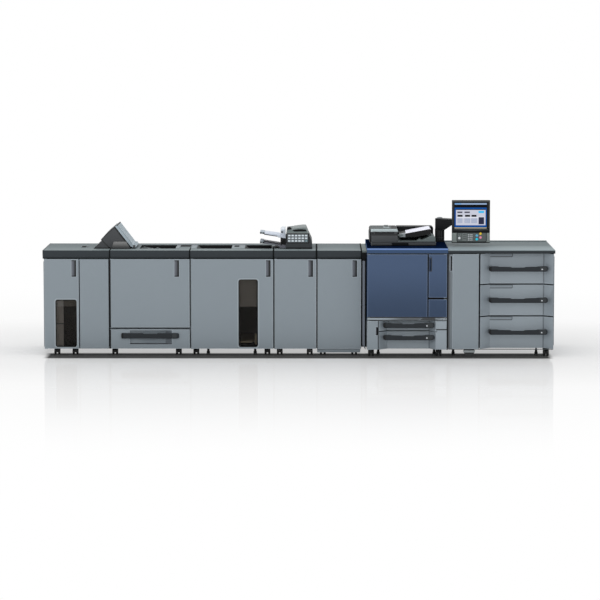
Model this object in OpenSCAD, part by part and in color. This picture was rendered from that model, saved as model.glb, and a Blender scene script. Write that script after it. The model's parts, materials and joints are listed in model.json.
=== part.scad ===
// Digital production printer: a line of cabinets that stands on casters and levelling feet.
// From left to right: binder, stacker, folder, relay unit, docking duct, print engine, paper feeder.
// X runs right along the line, Y runs from the operator's side to the back, Z runs up from the floor.

/* [Line of units] */
// Width of the perfect binder at the left end
binder_w = 1380; // [1250:10:1500]
// Width of the binder's left section, behind the window door and the fixed panel
binder_left_w = 616; // [560:4:680]
// Width of the large stacker
stacker_w = 788; // [700:4:880]
// Width of the folding unit
folder_w = 406; // [380:2:460]
// Width of the relay unit
relay_w = 422; // [380:2:480]
// Width of the docking duct between the relay unit and the print engine
docking_w = 50; // [44:1:70]
// Width of the print engine
engine_w = 760; // [720:4:820]
// Width of the paper feeder
feeder_w = 996; // [940:4:1060]
// Depth of the print engine and the feeder, without the drawer grips
engine_d = 990; // [940:5:1040]
// Depth of the finishing units
finisher_d = 775; // [740:5:820]
// How far the finishers' doors stand behind the engine's doors
finisher_setback = 120; // [80:5:150]

/* [Heights] */
// Height of the finishing units over their top covers
finisher_h = 998; // [970:2:1020]
// Height of the finishers' dark top covers
cover_h = 80; // [70:1:90]
// Height of the print engine over its top cover
engine_h = 1032; // [1010:2:1060]
// Height of the engine's top band
band_h = 51; // [40:1:60]
// How far the feeder's worktop lies below the top of the print engine
feeder_drop = 21; // [8:1:40]
// Thickness of the feeder's worktop
worktop_t = 31; // [24:1:40]
// Height of the chassis floor above the ground
base_z = 80; // [76:1:90]
// Height of the finishers' door edges above the ground
finisher_foot = 66; // [58:1:72]
// Height of the print engine's lower edge above the ground
engine_foot = 73; // [66:1:78]
// Height of the paper path through the whole line
path_z = 470; // [440:5:500]
// Height of the slot that the paper passes through
path_h = 16; // [12:1:24]
// Depth of the slot that the paper passes through
path_d = 350; // [320:10:380]
// Distance of the paper slots behind the engine's doors
path_set = 216; // [200:4:240]

/* [Sheet metal and clearances] */
// Thickness of the sheet steel
sheet_t = 3; // [2:0.5:4]
// Thickness of moulded covers
mould_t = 3; // [2:0.5:4]
// Gap between plates that meet
seam = 0.3; // [0.2:0.1:0.6]
// Overhang of the top covers at the two ends of the line
cover_overhang = 8; // [4:1:14]
// Height and depth of the frame rails behind the doors
rail = 20; // [16:1:28]

/* [Doors] */
// Thickness of a door
door_t = 30; // [27:1:36]
// Thickness of the liner that closes the back of a door
liner_t = 2; // [1:0.5:3]
// Distance of a door's edge from the side of its cabinet
edge_gap = 5; // [4:0.5:8]
// Gap between a door's back and the cabinet frame
door_back_gap = 8; // [7:0.5:12]
// Gap between a door's upper edge and the cover over it
head_gap = 4; // [4:0.5:6]
// Distance of a hinge pin from the door's side and front
pin_inset = 15; // [14:0.5:16]
// Radius of a hinge pin
pin_r = 5; // [4:0.5:6]
// Radial clearance of a hinge pin in its bore
pin_play = 0.05; // [0.02:0.01:0.08]
// Length of a hinge pin inside the door
pin_l = 22; // [16:1:26]
// Thickness of a hinge bracket
bracket_t = 3; // [2.5:0.5:3]
// Gap between a hinge bracket and the door
leaf_gap = 0.5; // [0.3:0.1:0.5]
// Width of a finger pocket
pocket_w = 47; // [40:1:56]
// Height of a finger pocket
pocket_h = 160; // [120:5:200]
// Depth of a finger pocket
pocket_d = 22; // [16:1:22]
// Distance of a finger pocket from the door's free edge
pocket_inset = 68; // [64:1:80]
// Distance of a finger pocket from the door's upper edge
pocket_drop = 7; // [6:1:20]
// Width of the binder's window door
window_door_w = 325; // [300:5:340]
// Width of the binder's window
binder_window_w = 196; // [170:2:210]
// Height of the binder's window
binder_window_h = 446; // [400:2:480]
// Height of the binder window's lower edge above the door's lower edge
binder_window_rise = 20; // [14:1:30]
// Width of the stacker's window
stacker_window_w = 182; // [160:2:200]
// Height of the stacker's window
stacker_window_h = 638; // [580:2:660]
// Height of the stacker window's lower edge above the door's lower edge
stacker_window_rise = 20; // [14:1:30]
// Distance of the stacker's window from the door's left edge
stacker_window_inset = 456; // [420:2:480]
// Corner radius of the windows
window_r = 18; // [10:1:30]
// Thickness of the window panes
pane_t = 3; // [2:0.5:4]

/* [Engine front] */
// Width of the engine's main door
main_door_w = 562; // [540:2:580]
// Gap between the engine's doors
engine_door_gap = 13; // [11:1:16]
// Height of the main door's lower edge
main_door_foot = 379; // [370:1:390]
// Height of the toner door's lower edge
toner_door_foot = 566; // [550:1:600]
// Gap between the toner door and the waste toner door
toner_gap = 19; // [17:1:26]
// Width of the small side door left of the drawers
side_door_w = 104; // [96:1:116]
// Height of the upper drawer's top edge
upper_drawer_top = 343; // [338:1:345]
// Height of the upper drawer's front
upper_drawer_h = 100; // [90:1:110]
// Height of the step in the seam between the drawers, at their flat right end
seam_step = 18; // [14:1:22]
// Gap between the two drawer fronts
drawer_gap = 5; // [4:0.5:8]

/* [Drawers and grips] */
// Travel of the paper drawers
drawer_travel = 500; // [400:10:520]
// Depth of the hollow in a drawer front
hollow_d = 80; // [60:2:90]
// How far a grip bar stands in front of the drawer fronts
grip_out = 18; // [12:1:24]
// Thickness of a grip bar
grip_t = 14; // [10:1:18]
// Width of a grip bar's ends
grip_leg = 26; // [20:1:34]
// Height of a grip bar
grip_h = 51; // [40:1:60]
// Height of the feeder's top drawer front
feeder_top_h = 283; // [270:1:300]
// Height of the feeder's middle drawer front
feeder_middle_h = 289; // [270:1:300]
// Gap between the feeder's drawer fronts
feeder_gap = 12; // [10:1:14]
// Width of the feeder's left section, behind its door
feeder_left_w = 293; // [280:1:310]
// Width of the recessed strip at the feeder's left edge
strip_w = 38; // [34:1:44]
// Height of the binder's drawer front
binder_drawer_h = 183; // [168:1:204]
// Thickness of a drawer runner
runner_t = 12; // [10:1:16]
// Sliding clearance of a drawer on its runners
slide_gap = 0.5; // [0.4:0.1:0.8]

/* [Top of the line] */
// Depth of the exit troughs below the top covers
trough_depth = 45; // [35:1:55]
// Distance of the exit troughs behind the finishers' doors
trough_y = 200; // [160:5:220]
// Length of the exit troughs from front to back
trough_l = 390; // [340:5:420]
// Width of the book exit hood
hood_w = 413; // [380:1:440]
// Height of the book exit hood
hood_h = 248; // [220:1:260]
// Depth of the book exit hood
hood_d = 400; // [340:5:440]
// Distance of the hood from the binder's left end
hood_x = 458; // [430:1:480]
// Distance of the hood and the inserter behind the finishers' doors
hood_y = 180; // [160:5:200]
// Width of the sheet inserter's body
inserter_w = 249; // [230:1:260]
// Height of the sheet inserter's body
inserter_h = 197; // [186:1:208]
// Depth of the sheet inserter
inserter_d = 420; // [380:5:440]
// Distance of the inserter's body from the folder's left side
inserter_x = 114; // [100:1:130]
// Length of the inserter's trays
inserter_tray_l = 245; // [220:1:260]

/* [Scanner and feeder of originals] */
// Width of the scanner
scanner_w = 611; // [580:1:630]
// Depth of the scanner
scanner_d = 590; // [560:5:620]
// Height of the scanner's base
scanner_h = 33; // [28:1:40]
// Distance of the scanner from the engine's left side
scanner_x = 45; // [40:1:60]
// Distance of the scanner behind the engine's doors
scanner_y = 226; // [200:1:240]
// Width of the box that feeds the originals
adf_w = 266; // [250:1:280]
// Height of the lid's box up to its cover
adf_h = 74; // [66:1:80]
// Height of the cover over the lid's box
adf_cover_h = 52; // [46:1:58]
// Depth of the rear housing of the scanner lid
adf_rear_d = 150; // [130:2:170]

/* [Operation panel] */
// Width of the operation panel
panel_w = 361; // [340:1:380]
// Height of the operation panel
panel_h = 407; // [380:1:420]
// Thickness of the operation panel
panel_t = 42; // [36:1:50]
// Height of the operation panel's lower edge over the print engine
panel_lift = 11; // [10:1:28]
// Distance of the panel from the engine's left side
panel_x = 815; // [800:1:830]
// Distance of the panel's screen behind the engine's doors
panel_y = 426; // [400:1:440]
// Width of the screen
screen_w = 314; // [300:1:324]
// Height of the screen
screen_h = 245; // [230:1:255]
// Side of the square post under the panel's arm
post_w = 88; // [76:1:96]
// Height of the post above the engine
post_h = 120; // [100:1:130]
// Thickness of the panel's arm
arm_h = 104; // [96:1:112]
// Radius of the swivel pin on the post
swivel_r = 20; // [16:1:26]

/* [Casters and feet] */
// Radius of a caster wheel
wheel_r = 31; // [28:1:34]
// Width of each of a caster's two wheels
wheel_w = 20; // [16:1:24]
// Thickness of a caster's fork between its wheels
fork_w = 14; // [12:1:18]
// Distance of the caster axles from the front and back of a finishing unit
axle_inset = 90; // [88:1:110]
// Distance of the caster axles from the front and back of the engine and the feeder
printer_axle_inset = 118; // [116:1:130]
// Radius of a levelling foot
foot_r = 17; // [14:1:20]
// Thickness of a levelling foot
foot_t = 12; // [8:1:16]

/* [Inside the engine] */
// Radius of a photoconductor drum
drum_r = 30; // [24:1:34]
// Spacing of the drum units along the belt
drum_pitch = 112; // [106:1:118]
// Radius of the two fuser rollers
fuser_r = 26; // [22:1:30]
// Radius of a toner bottle
bottle_r = 34; // [28:1:36]

/* [Hidden] */
$fn = 48;
over = 1;
arc_steps = 6;

// Colours as they look in daylight
panel_grey = [0.53, 0.57, 0.60];
cover_dark = [0.25, 0.27, 0.29];
top_grey = [0.49, 0.54, 0.53];
deep_blue = [0.25, 0.33, 0.45];
grip_dark = [0.22, 0.24, 0.26];
soft_black = [0.07, 0.08, 0.09];
light_grey = [0.72, 0.75, 0.77];
steel = [0.62, 0.64, 0.65];
smoke = [0.20, 0.15, 0.12, 0.6];

// Places of the units along the line, which is centred on the origin
line_w = binder_w + stacker_w + folder_w + relay_w + docking_w + engine_w + feeder_w;
binder_x0 = -line_w / 2;
stacker_x0 = binder_x0 + binder_w;
folder_x0 = stacker_x0 + stacker_w;
relay_x0 = folder_x0 + folder_w;
docking_x0 = relay_x0 + relay_w;
engine_x0 = docking_x0 + docking_w;
feeder_x0 = engine_x0 + engine_w;
line_x1 = line_w / 2;
split_x = binder_x0 + binder_left_w;

// Front and back planes
engine_y = grip_out - (engine_d + grip_out) / 2;
engine_back = engine_y + engine_d;
finisher_y = engine_y + finisher_setback;
finisher_back = finisher_y + finisher_d;
frame_set = door_t + door_back_gap;
front_set = hollow_d + 2 * sheet_t;
path_y0 = engine_y + path_set;
tray_d = drawer_travel + 7 * rail;

// Edges of the doors
feeder_h = engine_h - feeder_drop;
cover_z = finisher_h - cover_h;
finisher_head = cover_z - head_gap;
band_z = engine_h - band_h;
engine_head = band_z - 2 * bracket_t - head_gap;
worktop_z = feeder_h - worktop_t;
feeder_head = worktop_z - bracket_t - 2 * leaf_gap - seam - bracket_t / 2;
mid_rail_z = upper_drawer_top + leaf_gap;
waste_head = toner_door_foot - toner_gap;
upper_drawer_foot = upper_drawer_top - upper_drawer_h;
engine_door_x = engine_x0 + edge_gap;
toner_x = engine_door_x + main_door_w + engine_door_gap;
engine_right = feeder_x0 - edge_gap * 2;
side_x1 = engine_door_x + side_door_w;
divider_x = side_x1 - sheet_t - over;
strip_x = feeder_x0 + edge_gap;
feeder_door_x = strip_x + strip_w + seam;
feeder_split = feeder_x0 + feeder_left_w;
feeder_drawer_x = feeder_split + edge_gap * 2;
feeder_drawer_x1 = line_x1 - edge_gap;
boss_half = pin_inset - liner_t;
boss_h = pin_l + 2 * sheet_t;
strip_set = 2 * sheet_t;

// A door is left, right, foot, head, front plane and the place of its hinge pin
function door(x0, x1, z0, z1, y, left) = [x0, x1, z0, z1, y, left ? x0 + pin_inset : x1 - pin_inset];
window_door_at = door(binder_x0 + edge_gap, binder_x0 + edge_gap + window_door_w,
                      finisher_foot, finisher_head, finisher_y, true);
side_panel_x = window_door_at[1] + 2 * edge_gap;
binder_drawer_top = finisher_foot + binder_drawer_h;
main_foot = binder_drawer_top + 4 * head_gap;
binder_door_at = door(split_x + edge_gap, stacker_x0 - edge_gap, main_foot, finisher_head, finisher_y,
    true);
stacker_door_at = door(stacker_x0 + edge_gap, folder_x0 - edge_gap, finisher_foot, finisher_head,
    finisher_y, true);
folder_door_at = door(folder_x0 + edge_gap, relay_x0 - edge_gap, finisher_foot, finisher_head, finisher_y,
    true);
relay_door_at = door(relay_x0 + edge_gap, docking_x0 - edge_gap, finisher_foot, finisher_head, finisher_y,
    true);
engine_door_at = door(engine_door_x, engine_door_x + main_door_w, main_door_foot, engine_head, engine_y,
    true);
toner_door_at = door(toner_x, engine_right, toner_door_foot, engine_head, engine_y, false);
waste_door_at = door(toner_x, engine_right, main_door_foot, waste_head, engine_y, false);
side_door_at = door(engine_door_x, side_x1, engine_foot, upper_drawer_top, engine_y, true);
feeder_door_at = door(feeder_door_x, feeder_split, base_z, feeder_head, engine_y, false);

// A box between two corners, and prisms along each axis
module block(lo, hi) translate(lo) cube(hi - lo);
module prism_xy(points, z0, z1) translate([0, 0, z0]) linear_extrude(z1 - z0) polygon(points);
module prism_xz(points, y0, y1) translate([0, y1, 0]) rotate([90, 0, 0]) linear_extrude(y1 - y0)
  polygon(points);
module prism_yz(points, x0, x1) translate([x0, 0, 0]) rotate([90, 0, 90]) linear_extrude(x1 - x0)
  polygon(points);
module rod_y(x, z, r, y0, y1) translate([x, y1, z]) rotate([90, 0, 0]) cylinder(r = r, h = y1 - y0);
module rod_x(y, z, r, x0, x1) translate([x0, y, z]) rotate([0, 90, 0]) cylinder(r = r, h = x1 - x0);
function placed(shares, at, size) = [for (p = shares) [at[0] + p[0] * size[0], at[1] + p[1] * size[1]]];
function arc(cx, cz, r, from, to) =
  [for (i = [0:arc_steps]) let (a = from + (to - from) * i / arc_steps) [cx + r * cos(a), cz + r * sin(a)]];
function round_rect(x0, x1, z0, z1, r) = concat(
  arc(x1 - r, z1 - r, r, 0, 90), arc(x0 + r, z1 - r, r, 90, 180),
  arc(x0 + r, z0 + r, r, 180, 270), arc(x1 - r, z0 + r, r, 270, 360));

// Doors: a folded steel pan with a finger pocket and a bored boss at each hinge corner, closed by a liner
function pocket_at(d, w, h, inset, drop) =
  let (left = d[5] > (d[0] + d[1]) / 2, x = left ? d[0] + inset - w : d[1] - inset)
  [x, x + w, d[3] - drop - h, d[3] - drop];
function usual_pocket(d) = pocket_at(d, pocket_w, pocket_h, pocket_inset, pocket_drop);

module window_cut(w, y0, y1, grow) {
  prism_xz(round_rect(w[0] - grow, w[1] + grow, w[2] - grow, w[3] + grow, window_r), y0, y1);
}

module door_pan(d, p, windows) {
  y = d[4];
  back = y + door_t;
  difference() {
    union() {
      difference() {
        block([d[0], y, d[2]], [d[1], back, d[3]]);
        block([d[0] + sheet_t, y + sheet_t, d[2] + sheet_t], [d[1] - sheet_t, back + over, d[3] - sheet_t]);
      }
      if (len(p) > 0) block([p[0] - sheet_t, y, p[2] - sheet_t],
          [p[1] + sheet_t, y + pocket_d + sheet_t, p[3] + sheet_t]);
      for (z = [d[2], d[3] - boss_h])
        block([d[5] - boss_half, y + seam, z + seam],
            [d[5] + boss_half, back - liner_t - seam, z + boss_h - seam]);
    }
    if (len(p) > 0) block([p[0], y - over, p[2]], [p[1], y + pocket_d, p[3]]);
    for (w = windows) window_cut(w, y - over, back + over, 0);
    for (z = [d[2] - over, d[3] - pin_l - leaf_gap])
      translate([d[5], y + pin_inset, z]) cylinder(r = pin_r + pin_play, h = pin_l + leaf_gap + over);
  }
  difference() {
    block([d[0] + sheet_t + seam, back - liner_t, d[2] + sheet_t + seam],
          [d[1] - sheet_t - seam, back, d[3] - sheet_t - seam]);
    for (w = windows) window_cut(w, y, back + over, 0);
  }
}

// Bracket and pin of one door hinge, fixed to the rail behind it
module hinge(d, at_head) {
  leaf = at_head ? d[3] : d[2];
  way = at_head ? 1 : -1;
  near = leaf + way * leaf_gap;
  far = near + way * bracket_t;
  tip = leaf - way * pin_l;
  y = d[4] + pin_inset;
  union() {
    block([d[5] - boss_half, y - boss_half, min(near, far)],
          [d[5] + boss_half, d[4] + frame_set - seam, max(near, far)]);
    translate([d[5], y, at_head ? tip : near - over]) cylinder(r = pin_r, h = abs(near - tip) + over);
  }
}

// Plates of a cabinet
module wall_x(x, y0, y1, z0, z1, slotted) {
  lo = path_z - path_h / 2;
  hi = path_z + path_h / 2;
  if (slotted) {
    block([x, y0, z0], [x + sheet_t, y1, lo]);
    block([x, y0, hi], [x + sheet_t, y1, z1]);
    block([x, y0, lo + seam], [x + sheet_t, path_y0, hi - seam]);
    block([x, path_y0 + path_d, lo + seam], [x + sheet_t, y1, hi - seam]);
  } else block([x, y0, z0], [x + sheet_t, y1, z1]);
}

module chassis(x0, x1, front, back, z0, z1, left_slot, right_slot, floor_set = frame_set + rail) {
  y0 = front + frame_set;
  wall_x(x0, y0, back, z0, z1, left_slot);
  wall_x(x1 - sheet_t, y0, back, z0, z1, right_slot);
  block([x0 + sheet_t + seam, back - sheet_t, z0], [x1 - sheet_t - seam, back, z1]);
  block([x0 + sheet_t + seam, front + floor_set + seam, base_z],
        [x1 - sheet_t - seam, back - sheet_t - seam, base_z + sheet_t]);
}

// Fixed front panel: a folded pan without a pocket
module fixed_pan(x0, x1, z0, z1, y0, y1) {
  difference() {
    block([x0, y0, z0], [x1, y1, z1]);
    block([x0 + sheet_t, y0 + sheet_t, z0 + sheet_t], [x1 - sheet_t, y1 + over, z1 - sheet_t]);
  }
}

module rail_x(x0, x1, front, z0, z1) {
  block([x0 + sheet_t + seam, front + frame_set, z0], [x1 - sheet_t - seam, front + frame_set + rail, z1]);
}

module finisher_rails(x0, x1, head_doors, foot_doors) {
  rail_x(x0, x1, finisher_y, cover_z - rail, cover_z - seam);
  rail_x(x0, x1, finisher_y, finisher_foot - leaf_gap - bracket_t, base_z + sheet_t);
  for (d = head_doors) hinge(d, true);
  for (d = foot_doors) hinge(d, false);
}

// Runners that carry a drawer between two walls
module runners(x0, x1, y0, z) {
  for (x = [x0, x1 - runner_t])
    block([x, y0, z], [x + runner_t, y0 + tray_d, z + 2 * runner_t]);
}

module binder_cabinet() {
  inner_y = finisher_y + frame_set + rail + seam;
  inner_back = finisher_back - sheet_t - seam;
  shelf_z = finisher_foot + 5 * pocket_w;
  color(panel_grey) {
    chassis(binder_x0, stacker_x0 - seam, finisher_y, finisher_back, finisher_foot, cover_z - seam, false,
        true);
    fixed_pan(side_panel_x, split_x - edge_gap, finisher_foot, finisher_head, finisher_y,
        finisher_y + frame_set - seam);
  }
  color(steel) {
    finisher_rails(binder_x0, stacker_x0 - seam, [window_door_at, binder_door_at], [window_door_at]);
    block([split_x + sheet_t + seam, finisher_y + frame_set, binder_drawer_top + head_gap],
          [stacker_x0 - sheet_t - 2 * seam, finisher_y + frame_set + rail, main_foot - leaf_gap]);
    hinge(binder_door_at, false);
    wall_x(split_x, inner_y, inner_back, base_z + sheet_t + seam, cover_z - seam, true);
    block([binder_x0 + sheet_t + seam, inner_y, shelf_z], [split_x - seam, inner_back, shelf_z + sheet_t]);
    block([binder_x0 + 5 * rail, inner_y + rail, shelf_z + sheet_t + seam],
          [binder_x0 + 5 * rail + sheet_t, inner_back - rail, path_z - path_h]);
    runners(split_x + sheet_t + seam, stacker_x0 - sheet_t - 2 * seam, inner_y, finisher_foot + 2 * rail);
  }
}

module stacker_cabinet() {
  y0 = finisher_y + frame_set + rail + seam;
  back = finisher_back - sheet_t - seam;
  lift_z = path_z - path_h;
  color(panel_grey)
    chassis(stacker_x0, folder_x0 - seam, finisher_y, finisher_back, finisher_foot, cover_z - seam, true,
        true);
  color(steel) {
    finisher_rails(stacker_x0, folder_x0 - seam, [stacker_door_at], [stacker_door_at]);
    for (x = [stacker_x0 + sheet_t + seam, folder_x0 - 2 * seam - sheet_t - rail])
      block([x, (y0 + back - rail) / 2, base_z + sheet_t + seam],
          [x + rail, (y0 + back + rail) / 2, lift_z]);
  }
  color(smoke)
    block([stacker_x0 + sheet_t + seam, y0, path_z + path_h / 2 + rail],
          [folder_x0 - sheet_t - 2 * seam, back, path_z + path_h / 2 + rail + sheet_t]);
}

module folder_cabinet() {
  color(panel_grey)
    chassis(folder_x0, relay_x0 - seam, finisher_y, finisher_back, finisher_foot, cover_z - seam, true,
        true);
  color(steel) finisher_rails(folder_x0, relay_x0 - seam, [folder_door_at], [folder_door_at]);
}

module relay_cabinet() {
  color(panel_grey)
    chassis(relay_x0, docking_x0 - seam, finisher_y, finisher_back, finisher_foot, cover_z - seam, true,
        true);
  color(steel) finisher_rails(relay_x0, docking_x0 - seam, [relay_door_at], [relay_door_at]);
}

// Duct that carries the paper from the engine to the relay unit, with a sloped lower end at its front
module docking_duct() {
  x0 = docking_x0;
  x1 = engine_x0 - seam;
  neck = docking_w / 5;
  lo = path_z - path_h / 2;
  hi = path_z + path_h / 2;
  front = finisher_y - head_gap;
  y0 = finisher_y + frame_set;
  y1 = finisher_back - rail;
  foot = finisher_foot - head_gap * 2;
  color(cover_dark) {
    prism_xz([[x0 + neck, foot + docking_w], [x1 - neck, foot], [x1 - neck, cover_z], [x0 + neck, cover_z]],
        front, y0 - seam);
    for (z = [base_z, lo - sheet_t, hi, cover_z - sheet_t]) block([x0, y0, z], [x1, y1, z + sheet_t]);
    for (span = [[base_z + sheet_t, lo - sheet_t], [hi + sheet_t, cover_z - sheet_t]])
      for (y = [y0, y1 - sheet_t]) block([x0, y, span[0] + seam], [x1, y + sheet_t, span[1] - seam]);
  }
  color(top_grey) block([x0 + neck / 2, front - head_gap, cover_z + seam], [x1, y1, finisher_h]);
}

// Top covers of the finishing units: moulded shells with a sloped rim and with exit troughs let into them
module top_cover(x0, x1, troughs) {
  rim = [[finisher_y + head_gap * 2, cover_z], [finisher_y - head_gap, cover_z + cover_h * 0.3],
         [finisher_y - head_gap * 2, cover_z + cover_h * 0.7], [finisher_y - head_gap * 2, finisher_h],
         [finisher_back, finisher_h], [finisher_back, cover_z]];
  y0 = finisher_y + trough_y;
  floor_z = finisher_h - trough_depth;
  difference() {
    union() {
      difference() {
        prism_yz(rim, x0, x1);
        block([x0 + mould_t, finisher_y + head_gap * 2 + mould_t, cover_z - over],
              [x1 - mould_t, finisher_back - mould_t, finisher_h - mould_t]);
      }
      for (t = troughs)
        block([t[0] - mould_t, y0 - mould_t, floor_z - mould_t],
            [t[1] + mould_t, y0 + trough_l + mould_t, finisher_h - seam]);
    }
    for (t = troughs)
      prism_xz([[t[0], finisher_h + over], [t[0], finisher_h], [t[0] + t[2], floor_z], [t[1], floor_z],
          [t[1], finisher_h + over]],
               y0, y0 + trough_l);
  }
}
book_trough_shares = [0.647, 0.896];
left_trough_shares = [0.07, 0.49];
right_trough_shares = [0.65, 0.97];
binder_trough = [binder_x0 + binder_w * book_trough_shares[0], binder_x0 + binder_w * book_trough_shares[1],
    0];
left_trough = [stacker_x0 + stacker_w * left_trough_shares[0],
    stacker_x0 + stacker_w * left_trough_shares[1], trough_depth];
right_trough = [stacker_x0 + stacker_w * right_trough_shares[0],
    stacker_x0 + stacker_w * right_trough_shares[1], trough_depth];

module binder_top_cover() {
  color(top_grey) top_cover(binder_x0 - cover_overhang, stacker_x0 - seam, [binder_trough]);
}
module stacker_top_cover() {
  color(top_grey) top_cover(stacker_x0, folder_x0 - seam, [left_trough, right_trough]);
}
module transport_top_covers() {
  color(top_grey) {
    top_cover(folder_x0, relay_x0 - seam, []);
    top_cover(relay_x0, docking_x0 - seam, []);
  }
}

module binder_window_door() {
  color(panel_grey) door_pan(window_door_at, usual_pocket(window_door_at), [binder_window]);
}
window_side = (window_door_w - binder_window_w) * 0.84;
binder_window = [window_door_at[0] + window_side, window_door_at[0] + window_side + binder_window_w,
                 window_door_at[2] + binder_window_rise,
                     window_door_at[2] + binder_window_rise + binder_window_h];
stacker_window = [stacker_door_at[0] + stacker_window_inset,
                  stacker_door_at[0] + stacker_window_inset + stacker_window_w,
                  stacker_door_at[2] + stacker_window_rise,
                  stacker_door_at[2] + stacker_window_rise + stacker_window_h];
module pane(w, y) {
  lap = 2 * pane_t;
  window_cut(w, y + sheet_t + seam, y + sheet_t + seam + pane_t, lap);
}
module binder_window_pane() color(smoke) pane(binder_window, finisher_y);
module stacker_window_pane() color(smoke) pane(stacker_window, finisher_y);
module binder_main_door() {
  color(panel_grey)
    door_pan(binder_door_at, pocket_at(binder_door_at, pocket_w, pocket_h, 2.1 * pocket_inset, pocket_drop),
        []);
}
module stacker_door() {
  color(panel_grey)
    door_pan(stacker_door_at, usual_pocket(stacker_door_at), [stacker_window]);
}
module folder_door() {
  color(panel_grey)
    door_pan(folder_door_at, pocket_at(folder_door_at, pocket_w, pocket_h, 1.1 * pocket_inset, pocket_drop),
        []);
}
module relay_door() {
  color(panel_grey)
    door_pan(relay_door_at, pocket_at(relay_door_at, pocket_w, pocket_h, 1.2 * pocket_inset, pocket_drop),
        []);
}

// Print engine: steel frame and lower covers
process_x = engine_door_x + 2 * rail;
process_y = path_y0 - rail;
process_l = path_d + 2 * rail;
belt_z = path_z + path_h + 13 * rail;
fuser_x = process_x + 2 * fuser_r;
module process_plate(y) {
  difference() {
    block([engine_x0 + sheet_t + 2 * seam, y, mid_rail_z + seam],
          [toner_x - 2 * rail, y + sheet_t, belt_z + 5 * rail]);
    for (z = [path_z - fuser_r - seam / 2, path_z + fuser_r + seam / 2])
      rod_y(fuser_x, z, shaft_r + pin_play, y - over, y + sheet_t + over);
  }
}
shaft_r = 6;
inlet_w = 48;
inlet_h = 32;
inlet_x = engine_x0 + 3 * rail;
inlet_z = base_z + 3 * rail;
module engine_cabinet() {
  x0 = engine_x0 + seam;
  x1 = feeder_x0 - seam;
  shelf_z = mid_rail_z - sheet_t;
  inner_y = engine_y + frame_set + rail + seam;
  inner_back = engine_back - sheet_t - seam;
  color(panel_grey) {
    difference() {
      chassis(x0, x1, engine_y, engine_back, engine_foot, shelf_z - seam, false, false,
          front_set + sheet_t);
      block([inlet_x - seam, inner_back - over, inlet_z - seam],
            [inlet_x + inlet_w + seam, engine_back + over, inlet_z + inlet_h + seam]);
    }
    fixed_pan(engine_door_x, engine_right, mid_rail_z + 2 * bracket_t, main_door_foot - 2 * bracket_t,
              engine_y, engine_y + frame_set - seam);
  }
  color(steel) {
    block([x0, engine_y + front_set + 2 * seam, shelf_z], [x1, engine_back, mid_rail_z]);
    rail_x(x0, x1, engine_y, mid_rail_z, main_door_foot - leaf_gap);
    rail_x(x0, x1, engine_y, band_z - rail, band_z - seam);
    block([toner_x - engine_door_gap, engine_y + frame_set, waste_head + leaf_gap],
          [x1 - sheet_t - seam, engine_y + frame_set + rail, toner_door_foot - leaf_gap]);
    rail_x(x0, divider_x + sheet_t, engine_y, engine_foot - leaf_gap - bracket_t, base_z + sheet_t);
    for (d = [engine_door_at, toner_door_at, waste_door_at, side_door_at]) {
      hinge(d, true);
      hinge(d, false);
    }
    wall_x(toner_x - 2 * rail + seam, inner_y, inner_back, mid_rail_z + seam, band_z - seam, true);
    block([toner_x - 2 * rail + 2 * seam + sheet_t, inner_y, toner_door_foot - sheet_t - seam],
          [x1 - sheet_t - seam, inner_back, toner_door_foot - seam]);
    block([divider_x, inner_y, base_z + sheet_t + seam], [divider_x + sheet_t, inner_back, shelf_z - seam]);
    process_plate(process_y);
    process_plate(process_y + process_l + sheet_t + 2 * seam);
    for (z = [upper_drawer_foot + rail, base_z + 2 * rail])
      runners(divider_x + sheet_t + seam, x1 - sheet_t - seam, engine_y + front_set + 2 * seam, z);
  }
  color(soft_black)
    difference() {
      block([inlet_x, engine_back - 2 * rail, inlet_z],
          [inlet_x + inlet_w, engine_back, inlet_z + inlet_h]);
      block([inlet_x + sheet_t, engine_back - rail, inlet_z + sheet_t],
            [inlet_x + inlet_w - sheet_t, engine_back + over, inlet_z + inlet_h - sheet_t]);
    }
}

module engine_upper_shell() {
  x0 = engine_x0 + seam;
  x1 = feeder_x0 - seam;
  y0 = engine_y + frame_set;
  nose = band_h / 3;
  outline = concat([[engine_back, band_z], [engine_y, band_z]],
      arc(engine_y + nose, engine_h - nose, nose, 180, 90),
                   [[engine_back, engine_h]]);
  color(deep_blue) {
    wall_x(x0, y0, engine_back, mid_rail_z + seam, band_z - seam, true);
    wall_x(x1 - sheet_t, y0, engine_back, mid_rail_z + seam, band_z - seam, true);
    block([x0 + sheet_t + seam, engine_back - sheet_t, mid_rail_z + seam],
        [x1 - sheet_t - seam, engine_back, band_z - seam]);
    difference() {
      prism_yz(outline, x0, x1);
      block([x0 + mould_t, engine_y + mould_t, band_z - over],
          [x1 - mould_t, engine_back - mould_t, band_z + band_h / 2]);
      block([x0 + mould_t, engine_y + nose, band_z - over],
          [x1 - mould_t, engine_back - mould_t, engine_h - mould_t]);
    }
  }
}

module engine_main_door() {
  d = engine_door_at;
  color(deep_blue) door_pan(d, [], []);
}
module toner_door() {
  d = toner_door_at;
  color(deep_blue) door_pan(d, pocket_at(d, strip_pocket_w, pocket_h * 0.76, strip_pocket_w + sheet_t,
    5 * pocket_drop), []);
}
strip_pocket_w = pocket_w / 2;
module waste_toner_door() {
  d = waste_door_at;
  color(deep_blue) door_pan(d, [], []);
}
module engine_side_door() {
  d = side_door_at;
  color(panel_grey) door_pan(d, pocket_at(d, strip_pocket_w, pocket_h / 2, strip_pocket_w + sheet_t,
    8 * pocket_drop), []);
}

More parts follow.
